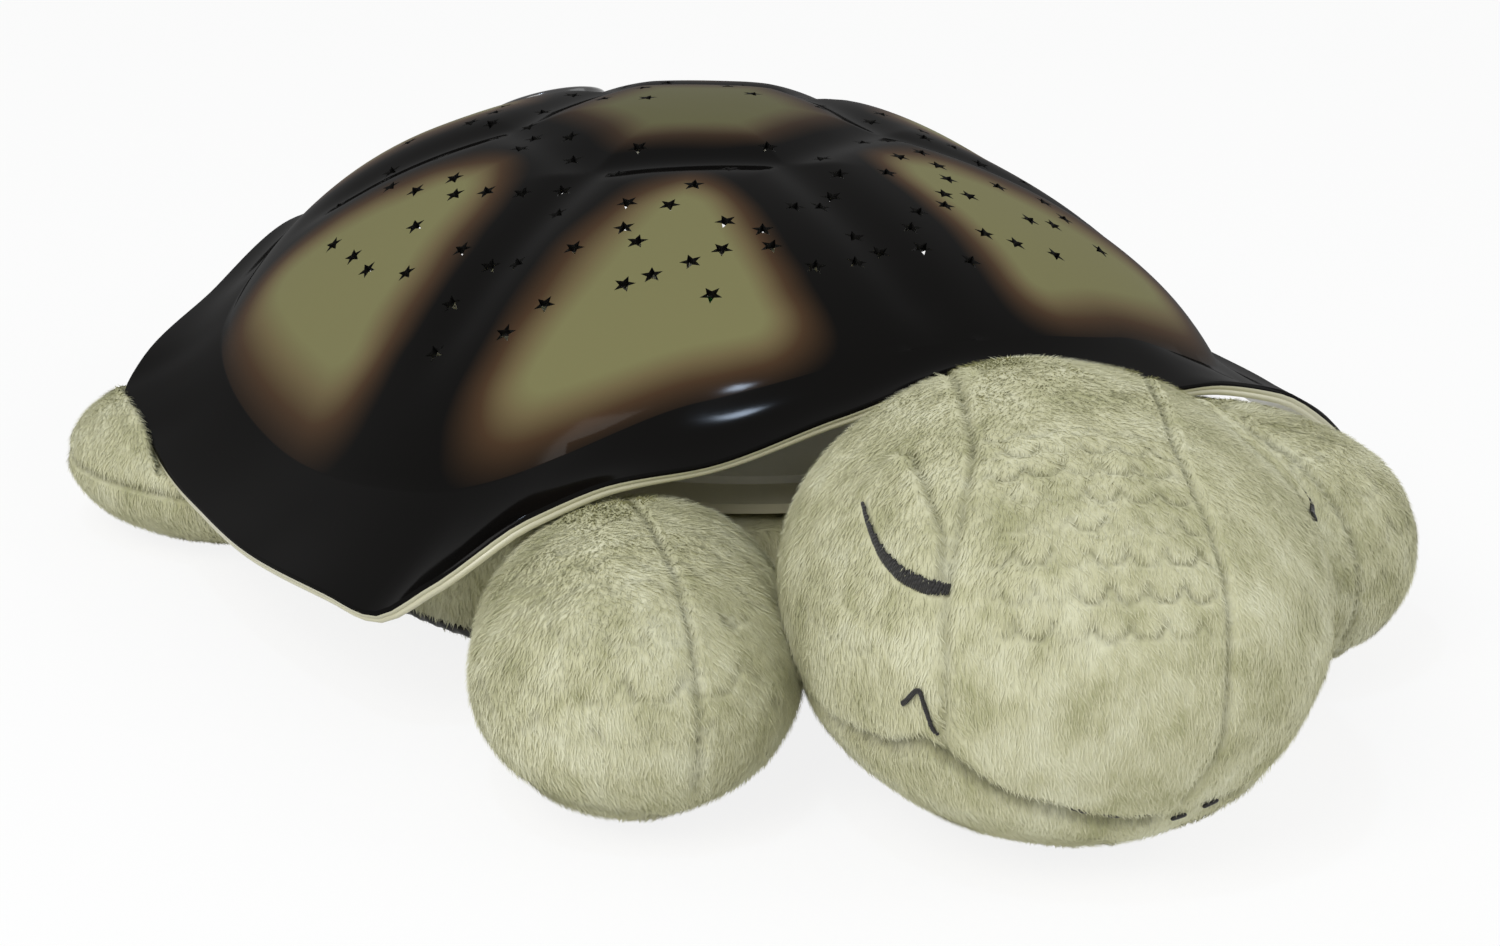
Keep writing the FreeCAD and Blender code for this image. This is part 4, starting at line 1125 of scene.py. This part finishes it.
@dataclass
class Head(StuffedForm):
    """The sleeping head: a middle panel with pressed scales, closed eyes, nostrils and a mouth fold."""

    # Lines on the face are degrees across and up, about its panel's middle, for the turtle's right side.
    face: float = -10.0
    middle: float = 26.0
    panel_low: float = 30.3
    panel_high: float = 22.0
    mm_per_degree: float = 1.02
    stitch_mm: float = 0.42
    stitch_rise: float = 0.75
    eye: tuple = ((-63.6, 31.1), (-54.6, 27.0), (-47.0, 23.5), (-39.7, 21.2), (-34.3, 20.5), (-29.4, 20.4))
    lid: tuple = ((-74.0, 44.0), (-63.0, 46.0), (-49.2, 41.3), (-39.7, 35.4), (-34.3, 30.7), (-31.2, 22.3))
    nostril: tuple = ((-34.6, -2.4), (-31.2, 2.2), (-27.8, -6.9))
    mouth: tuple = ((-76.0, -17.0), (-57.0, -16.8), (-40.0, -14.0), (-31.0, -9.6), (-23.4, -13.6),
                    (-15.8, -18.5), (-1.8, -23.6), (8.0, -26.6), (17.0, -27.6))
    mouth_end: tuple = ((26.0, -26.6), (35.8, -23.6))

    def face_frame(self, local: np.ndarray) -> tuple[np.ndarray, ...]:
        """Across, ahead, longitude, latitude and rise of each point, about the face panel's own middle."""
        a = math.radians(self.face)
        across = local[:, 0] * math.cos(a) + local[:, 1] * math.sin(a)
        ahead = local[:, 0] * math.sin(a) - local[:, 1] * math.cos(a)
        longitude = np.degrees(np.arctan2(across, ahead))
        latitude = np.degrees(np.arctan2(local[:, 2], np.hypot(across, ahead)))
        return across, ahead, longitude, latitude, np.degrees(np.arctan2(local[:, 2], ahead))

    def side_features(self, longitude: np.ndarray, latitude: np.ndarray) -> tuple[np.ndarray, ...]:
        """Lid seam, swollen lid, nearness to the eye and mouth fold of one side of the face."""
        lid, near_eye, mouth = (line_distance(longitude, latitude, line, self.mm_per_degree)
                                for line in (self.lid, self.eye, self.mouth))
        eye_line = np.interp(longitude, *zip(*self.eye))
        lid_line = np.interp(longitude, *zip(*self.lid))
        patch = smooth_step(latitude - eye_line, -0.5, 2.0) * smooth_step(lid_line - latitude, -0.5, 2.5)
        patch = patch * smooth_step(longitude, -76.0, -64.0) * smooth_step(-longitude, 29.0, 32.0)
        fold = groove(mouth, 1.5) * smooth_step(longitude, -74.0, -50.0)
        return groove(lid, 0.9), patch, near_eye, fold

    def sculpt(self, local: np.ndarray) -> Sculpt:
        """Panel seams, scale arcs, eyelids and the mouth fold."""
        across, ahead, longitude, latitude, rise = self.face_frame(local)
        edge = self.panel_low + (self.panel_high - self.panel_low) * smooth_step(rise, 15.0, 66.0)
        edge = edge - 9.0 * smooth_step(-rise, 6.0, 30.0)
        chin = np.interp(np.abs(longitude - self.middle), (0.0, 50.0), (-26.5, -13.0))
        above = smooth_step(latitude - chin, 0.0, 4.0)
        seam = groove(np.abs(across) - edge, 0.95) * ((ahead > 0) | (local[:, 2] > 12)) * above
        right = self.side_features(longitude, latitude)
        left = self.side_features(2 * self.middle - longitude, latitude)
        lid_seam, patch, fold = (np.maximum(right[k], left[k]) for k in (0, 1, 3))
        near_eye = np.minimum(right[2], left[2])
        inside = smooth_step(across, -24.0, -16.0) * smooth_step(edge - across, 1.0, 4.0)
        inside = inside * smooth_step(rise, 8.0, 16.0) * smooth_step(-rise, -72.0, -58.0)
        arcs = scale_rows(across + 40.0, rise, 8.0, 6.9, 1.3) * inside
        cheek = smooth_step(-longitude, 36.0, 46.0) * smooth_step(longitude, -84.0, -72.0)
        cheek = cheek * smooth_step(-np.abs(latitude - 12.0), -13.0, -7.0) * smooth_step(near_eye, 3.0, 6.0)
        faint = scale_rows(longitude + 90.0, latitude * 0.95 + 60.0, 8.4, 7.0, 4.1) * cheek * 0.4
        push = -1.6 * seam - 2.6 * fold - 1.0 * lid_seam + 1.5 * patch - 1.0 * (arcs + faint)
        jaw = -24.0 + 9.0 * smooth_step(np.abs(longitude - self.middle), 10.0, 60.0)
        push = push + 1.0 * smooth_step(jaw - latitude, 1.0, 9.0) * (ahead > 0)
        # Painted shade: the colour darkens in the panel seams, the mouth fold, the lid seams and the scale
        # arcs.
        shade = np.clip(0.38 * seam + 0.8 * fold + 0.4 * lid_seam + 0.5 * (arcs + faint), 0, 1)
        cover = np.clip(1 - 0.8 * seam - 0.7 * lid_seam - 0.5 * (arcs + faint), 0.1, 1)
        return Sculpt(push, shade, cover * smooth_step(near_eye, 1.6, 2.8))

    def embroider(self, stitches: StitchTree, material: Material) -> list[Object]:
        """Closed eyes, nostrils and mouth stitches in black thread."""
        pieces = []
        for side in Side:
            for what, line, reach, thread in (("eye", self.eye, (0.6, 2.0), 0.42),
                                              ("nostril", self.nostril, (0.7, 0.6), 0.4)):
                name = f"{side.name.lower()}_{what}_embroidery"
                pieces.append(self.thread_line(stitches, name, line, side, reach, thread, material))
        name, line = "mouth_embroidery", self.mouth[-3:] + self.mouth_end
        pieces.append(self.thread_line(stitches, name, line, Side.RIGHT, (0.5, 0.5), 0.5, material, True))
        return pieces

    def thread_line(self, stitches: StitchTree, name: str, line: Line, side: Side, reach: tuple[float, float],
                    thread: float, material: Material, broken: bool = False) -> Object:
        """Satin stitch along a line on the face.

        Args:
            stitches: The shared stitch tree.
            name: The piece's name.
            line: (longitude, latitude) points about the face panel's middle, for the turtle's right side.
            side: Which side of the face it is on.
            reach: Half width of the line at its start and end, in millimetres.
            thread: Half thickness of one thread.
            material: The thread.
            broken: Whether only some of the threads show, as in a mouth stitch.

        Returns:
            The embroidery, riding on the body.
        """
        knots = np.array(line, dtype=float)
        span = np.concatenate([[0], np.cumsum(np.hypot(*np.diff(knots, axis=0).T))])
        steps = np.arange(0.0, span[-1], self.stitch_mm / self.mm_per_degree)
        lon = np.interp(steps, span, knots[:, 0])
        lon = (lon if side is Side.RIGHT else 2 * self.middle - lon) + self.face
        lat = np.interp(steps, span, knots[:, 1])
        if not broken:
            lat = np.convolve(np.pad(lat, 4, mode="edge"), np.ones(9) / 9, "valid")
        hits = [self.hit(a, b) for a, b in zip(lon, lat)]
        points, normals = (np.array([h[k] for h in hits]) for k in (0, 1))
        along = unit(np.gradient(points, axis=0))
        across = along if broken else unit(np.cross(normals, along) + 0.25 * along)
        share = np.linspace(0, 1, len(points))
        size = reach[0] + (reach[1] - reach[0]) * smooth_step(share, 0.0, 0.8)
        size = size * (1 - 0.25 * smooth_step(share, 0.92, 1.0))
        if broken:
            keep = np.sin(share * 31.0) > 0.35
            points, normals, across, size = points[keep], normals[keep], across[keep], size[keep] * 1.6
        obj = stitches.sew(name, points + normals * self.stitch_rise, normals, across, size, thread, material)
        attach(obj, ROOT)
        return obj


@dataclass
class Flipper(StuffedForm):
    """A front flipper: a seam down its front and a few large pressed scales."""

    side: Side = Side.RIGHT

    def sculpt(self, local: np.ndarray) -> Sculpt:
        """The seam between its two panels, and pressed arcs beside it."""
        inward = local[:, 0] * -self.side.value
        seam_at = 4.2 - 0.27 * local[:, 1]
        seam = groove(inward - seam_at, 0.95) * (local[:, 2] > -14.0)
        base = groove(local[:, 2] + 21.0 + 2.0 * np.sin(local[:, 0] * 0.1), 1.6)
        region = smooth_step(-local[:, 1], 16.0, 26.0) * smooth_step(-np.abs(local[:, 2] - 12.0), -16.0, -9.0)
        arcs = scale_rows(local[:, 0] + 40.0, local[:, 2] + 33.0, 13.0, 10.5, 2.2) * region
        top = smooth_step(local[:, 2], 12.0, 22.0) * smooth_step(-np.abs(local[:, 1] + 4.0), -30.0, -18.0)
        arcs = arcs + scale_rows(local[:, 0] + 40.0, -local[:, 1] + 60.0, 12.0, 10.0, 6.1) * top * 0.6
        push = -1.4 * seam - 0.9 * base - 0.8 * arcs
        # Painted shade: the colour darkens in the seam, the crease at the base and the scale arcs.
        shade = np.clip(0.45 * seam + 0.3 * base + 0.45 * arcs, 0, 1)
        cover = np.clip(1 - 0.75 * seam - 0.45 * arcs, 0.1, 1)
        return Sculpt(push, shade, cover)


@dataclass
class Foot(StuffedForm):
    """A rear foot: an upper and a lower panel meet in a seam round its edge."""

    def sculpt(self, local: np.ndarray) -> Sculpt:
        """The seam round the foot."""
        seam = groove(local[:, 2] - 1.5, 1.1)
        # Painted shade: the colour darkens along the seam.
        return Sculpt(-1.5 * seam, 0.6 * seam, np.clip(1 - 0.8 * seam, 0.1, 1))


@dataclass
class CoveredPart:
    """A flat or hollow plush part that keeps the shape of its own node, with soft lumps and pile."""

    node: str
    body: str
    slot: str
    voxel: float
    lumps: float
    pile_length: float
    density: float
    fill: float = 0.5
    seed: int = 5
    comb: tuple[float, float, float] = (0.3, 0.2, -1.0)
    stray: float = 0.5
    pile_width: float = 0.42
    pile_lift: float = 0.42
    lump_mm: float = 22.0

    def build(self, pile: PileTree, material: Material) -> Object:
        """Copy the node, even out its mesh, soften it and give it pile."""
        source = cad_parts[self.node]
        work = bmesh.new()
        work.from_mesh(source.data)
        bmesh.ops.remove_doubles(work, verts=work.verts, dist=1e-6)
        mesh = bpy.data.meshes.new(self.node + "_cover")
        work.to_mesh(mesh)
        work.free()
        obj = bpy.data.objects.new(self.node + "_cover", mesh)
        bpy.context.collection.objects.link(obj)
        modifier = obj.modifiers.new("even", "REMESH")
        modifier.mode = "VOXEL"
        modifier.voxel_size = self.voxel * MM
        obj = applied(obj, self.node + "_plush")
        mesh = obj.data
        mesh.materials.clear()
        mesh.materials.append(material)
        smooth_shaded(mesh)
        places, normals = vertex_array(mesh), vertex_array(mesh, "normal")
        bump = self.lumps * (wobble(places, self.lump_mm, self.seed) - 0.6) * (places[:, 2] > 1.0)
        places = places + normals * bump[:, None]
        set_places(mesh, places)
        lay_pile(mesh, places, normals, self.comb, self.stray, (2, 3, 4), np.zeros(len(places)),
                 self.cover(places, normals))
        blade = (self.density, self.pile_length, self.pile_width, self.pile_lift)
        obj = pile.grow(obj, *blade, self.seed, material)
        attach(obj, self.body)
        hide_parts(self.node)
        return obj

    def cover(self, places: np.ndarray, normals: np.ndarray) -> np.ndarray:
        """Pile only on faces that look outwards, above the floor."""
        radial = unit(places * np.array([1, 1, 0]))
        outward = (radial * normals).sum(1) > 0.2
        return (outward & (np.hypot(places[:, 0], places[:, 1]) > 90.0) & (places[:, 2] > 1.5)).astype(float)


@dataclass
class Piping:
    """Dark twisted cord sewn round the foot of the body."""

    ring: float = 106.6
    height: float = 4.6
    radius: float = 1.45
    strands: int = 3
    turns: int = 120
    columns: int = 1440
    sides: int = 12

    def build(self, material: Material) -> Object:
        """Sweep a three-strand section round the body."""
        columns, sides = self.columns, self.sides
        turn = np.arange(columns) * 2 * math.pi / columns
        around = np.arange(sides) * 2 * math.pi / sides
        twist = around[None, :] * self.strands + turn[:, None] * self.turns
        size = self.radius * (1 + 0.12 * np.cos(twist))
        out = self.ring + size * np.cos(around)[None, :]
        points = np.stack([out * np.sin(turn)[:, None], -out * np.cos(turn)[:, None],
                           self.height + size * np.sin(around)[None, :]], -1).reshape(-1, 3)
        faces = []
        for i in range(columns):
            for k in range(sides):
                a, b = i * sides + k, i * sides + (k + 1) % sides
                c, d = (i + 1) % columns * sides + (k + 1) % sides, (i + 1) % columns * sides + k
                faces.append((a, b, c, d))
        obj = mesh_object("foot_piping_cord", points, faces, [material])
        face_outward(obj.data)
        smooth_shaded(obj.data)
        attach(obj, ROOT)
        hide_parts("foot_piping")
        return obj


def seen_by(nodes: Nodes, *rays: str) -> Socket:
    """1 on rays of the named kinds and 0 on all others."""
    path = nodes.add("ShaderNodeLightPath").node
    shown = path.outputs[f"Is {rays[0]} Ray"]
    for kind in rays[1:]:
        shown = nodes.math("MAXIMUM", shown, path.outputs[f"Is {kind} Ray"])
    return shown


@dataclass
class Studio:
    """Floor, soft lights and the camera at the photograph's angle."""

    # The eye is in millimetres and the three axes are unit vectors, fitted to the photograph's outlines.
    eye: tuple[float, float, float] = (-453.45, -871.2, 400.32)
    right: tuple[float, float, float] = (0.8878, -0.4596, 0.026)
    up: tuple[float, float, float] = (0.1471, 0.3366, 0.9301)
    back: tuple[float, float, float] = (-0.4362, -0.8219, 0.3664)
    focal_px: float = 3981.8
    photo_width_px: float = 1500.0
    sensor_mm: float = 36.0
    floor_mm: float = 4000.0
    floor_glow: float = 0.86
    ambient: float = 0.5

    def camera(self) -> None:
        """Stand the camera where the photograph was taken from."""
        data = bpy.data.cameras.new("camera")
        data.sensor_width = self.sensor_mm
        data.lens = self.focal_px / self.photo_width_px * self.sensor_mm
        data.clip_start = 0.02
        obj = bpy.data.objects.new("camera", data)
        bpy.context.collection.objects.link(obj)
        axes = Matrix((self.right, self.up, self.back)).transposed().to_4x4()
        obj.matrix_world = Matrix.Translation(Vector(self.eye) * MM) @ axes
        bpy.context.scene.camera = obj

    def floor(self) -> None:
        """Plain pale floor that keeps the shadow."""
        made = Surface("pale_floor", {"Base Color": linear("#f4f4f2"), "Roughness": 1.0})
        glow = made.add("ShaderNodeEmission", {"Color": (1, 1, 1, 1), "Strength": 1.0})
        share = made.math("MULTIPLY", seen_by(made, "Camera", "Glossy"), self.floor_glow)
        mix = made.add("ShaderNodeMixShader", {0: share, 1: made.shader.outputs[0], 2: glow})
        made.tree.links.new(mix, made.tree.nodes["Material Output"].inputs["Surface"])
        corners = [(-1, -1, 0), (1, -1, 0), (1, 1, 0), (-1, 1, 0)]
        floor = mesh_object("floor", np.array(corners) * self.floor_mm, [(0, 1, 2, 3)], [made.material])

    def world(self) -> None:
        """White surroundings: full white where seen or mirrored, softer as light."""
        world = bpy.data.worlds.new("studio")
        bpy.context.scene.world = world
        world.use_nodes = True
        nodes = Nodes(world.node_tree)
        background = nodes.tree.nodes["Background"]
        shown = seen_by(nodes, "Camera", "Transmission", "Glossy")
        nodes.tree.links.new(nodes.remap(shown, (self.ambient, 1.0)), background.inputs["Strength"])
        background.inputs["Color"].default_value = (1, 1, 1, 1)

    def lights(self) -> None:
        """One large soft key from the left, a weaker fill and a small cool window for the highlight."""
        for name, place, size, power, colour in (
                ("key", (-1.15, -0.75, 1.25), 0.9, 15.0, (1.0, 0.985, 0.96)),
                ("fill", (1.3, -0.9, 0.9), 1.1, 7.0, (0.97, 0.985, 1.0)),
                ("window", (-0.564, -0.436, 1.43), 0.085, 3.2, (0.66, 0.8, 1.0))):
            data = bpy.data.lights.new(name, "AREA")
            data.size = size
            data.energy = power
            data.color = colour
            obj = bpy.data.objects.new(name, data)
            bpy.context.collection.objects.link(obj)
            obj.location = place
            obj.rotation_euler = Vector(place).to_track_quat("Z", "Y").to_euler()

    def build(self) -> None:
        """Set the whole studio up."""
        self.camera()
        self.floor()
        self.world()
        self.lights()
        bpy.context.scene.view_settings.view_transform = "Standard"


def dress(node: str, material: Material) -> None:
    """Give a CAD node its finish."""
    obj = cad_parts[node]
    if not obj.material_slots:
        obj.data.materials.append(material)
    for slot in obj.material_slots:
        slot.material = material


def dress_hard_parts() -> None:
    """Finish every hard piece that keeps its own mesh."""
    pale = MouldedPlastic("pale_moulded_abs", "#cfcab4", 0.42).material()
    white = MouldedPlastic("white_reflector_abs", "#eceae4", 0.3).material()
    black = MouldedPlastic("black_gloss_abs", "#0f0e0d", 0.2, coat=0.5).material()
    chip = MouldedPlastic("black_epoxy_package", "#1a1a1a", 0.5).material()
    sleeve = MouldedPlastic("cell_sleeve_film", "#39424f", 0.28, coat=0.3).material()
    red = MouldedPlastic("red_lead_insulation", "#8f2218", 0.5).material()
    steel = PlatedSteel("zinc_plated_steel").material()
    nickel = PlatedSteel("nickel_plated_spring_steel", "#cfccc4", 0.22).material()
    board = CircuitBoard().material()
    finishes = {
        pale: ("base_housing", "battery_tray", "battery_door"),
        white: ("light_deck",),
        black: ("button_bezel",),
        chip: ("timer_chip", "tact_switches"),
        sleeve: ("cells",),
        red: ("switch_leads", "led_leads", "battery_leads"),
        steel: ("housing_screws", "deck_screws", "led_board_screws", "control_board_screws", "door_screw"),
        nickel: ("battery_springs", "contact_plates"),
        board: ("led_board", "control_board", "switch_board"),
    }
    for name, colour in (("led_blue", "#5a86e8"), ("led_green", "#58c877"), ("led_amber", "#f0a63c")):
        finishes[TintedEpoxy(name + "_epoxy", colour).material()] = (name,)
    for name, colour in (("power_button", "#c9c6b4"), ("blue_button", "#2f56b0"), ("green_button", "#2f8c4c"),
                         ("amber_button", "#df9330")):
        finishes[MouldedPlastic(name + "_soft_touch", colour, 0.45, 0.3).material()] = (name,)
    for material, nodes in finishes.items():
        for node in nodes:
            dress(node, material)
            LOG.info("dressed %s in %s", node, material.name)


def main() -> None:
    """Build the turtle light piece by piece."""
    logging.basicConfig(level=logging.INFO, format="%(name)s: %(message)s")
    plush = ShortPilePlush("sage_short_pile_plush").material()
    tape = ShortPilePlush("hook_and_loop_tape", "#c9c6ae", "#b3b095", "#96927a").material()
    thread = Thread("black_embroidery_thread").material()
    cord = Thread("dark_piping_cord", "#1b1a17", 0.8).material()
    bare = MouldedPlastic("bare_pale_abs", "#c4c1a6", 0.3, 0.8).material()
    paint = SprayedShell().material()
    shell = StarShell()
    # Painted shade: the walls of the star holes and of the button opening are near black, standing in for the
    # shade inside the holes.
    dark = MouldedPlastic("painted_hole_shade", "#0d0c0a", 0.5).material()
    LOG.info("shell: %s", shell.build(paint, bare, dark).name)
    pile, stitches = PileTree(), StitchTree()
    head = Head("head", (-7.0, -175.0), (61.0, 68.0, 57.0, 50.0), -14.0, detail=7, seed=1, density=1.7)
    flipper, foot = (38.0, 46.0, 56.0, 31.0), (33.8, 41.1, 34.3, 20.1)
    forms = [
        head,
        StuffedForm("neck", (-4.2, -108.0), (34.0, 28.0, 28.0, 30.0), 0.0, detail=5, seed=2, density=0.8),
        Flipper("front_right_flipper", (-89.6, -132.9), flipper, -28.0, seed=3, side=Side.RIGHT),
        Flipper("front_left_flipper", (77.5, -124.0), flipper, 28.0, seed=4, side=Side.LEFT),
        Foot("rear_left_foot", (120.8, 48.3), foot, 140.4, seed=5),
        Foot("rear_right_foot", (-120.8, 48.3), foot, -140.4, seed=6),
        StuffedForm("tail", (0.0, 124.0), (15.0, 30.0, 22.0, 12.0), 180.0, detail=5, seed=7),
    ]
    for form in forms:
        LOG.info("stuffed: %s", form.build(shell.shape, pile, plush).name)
    for piece in head.embroider(stitches, thread):
        LOG.info("embroidered: %s", piece.name)
    covers = [
        (CoveredPart("body_cover", ROOT, "plush", 2.4, 0.9, 2.6, 1.2), plush),
        (CoveredPart("belly_flap", "belly_flap", "plush", 1.2, 0.0, 1.2, 0.0), plush),
        (CoveredPart("loop_strip", "belly_flap", "tape", 0.3, 0.0, 0.6, 0.0), tape),
        (CoveredPart("hook_strip", ROOT, "tape", 0.3, 0.0, 0.6, 0.0), tape),
    ]
    for part, material in covers:
        LOG.info("covered: %s", part.build(pile, material).name)
    LOG.info("piping: %s", Piping().build(cord).name)
    dress_hard_parts()
    Studio().build()


if __name__ == "__main__":
    main()
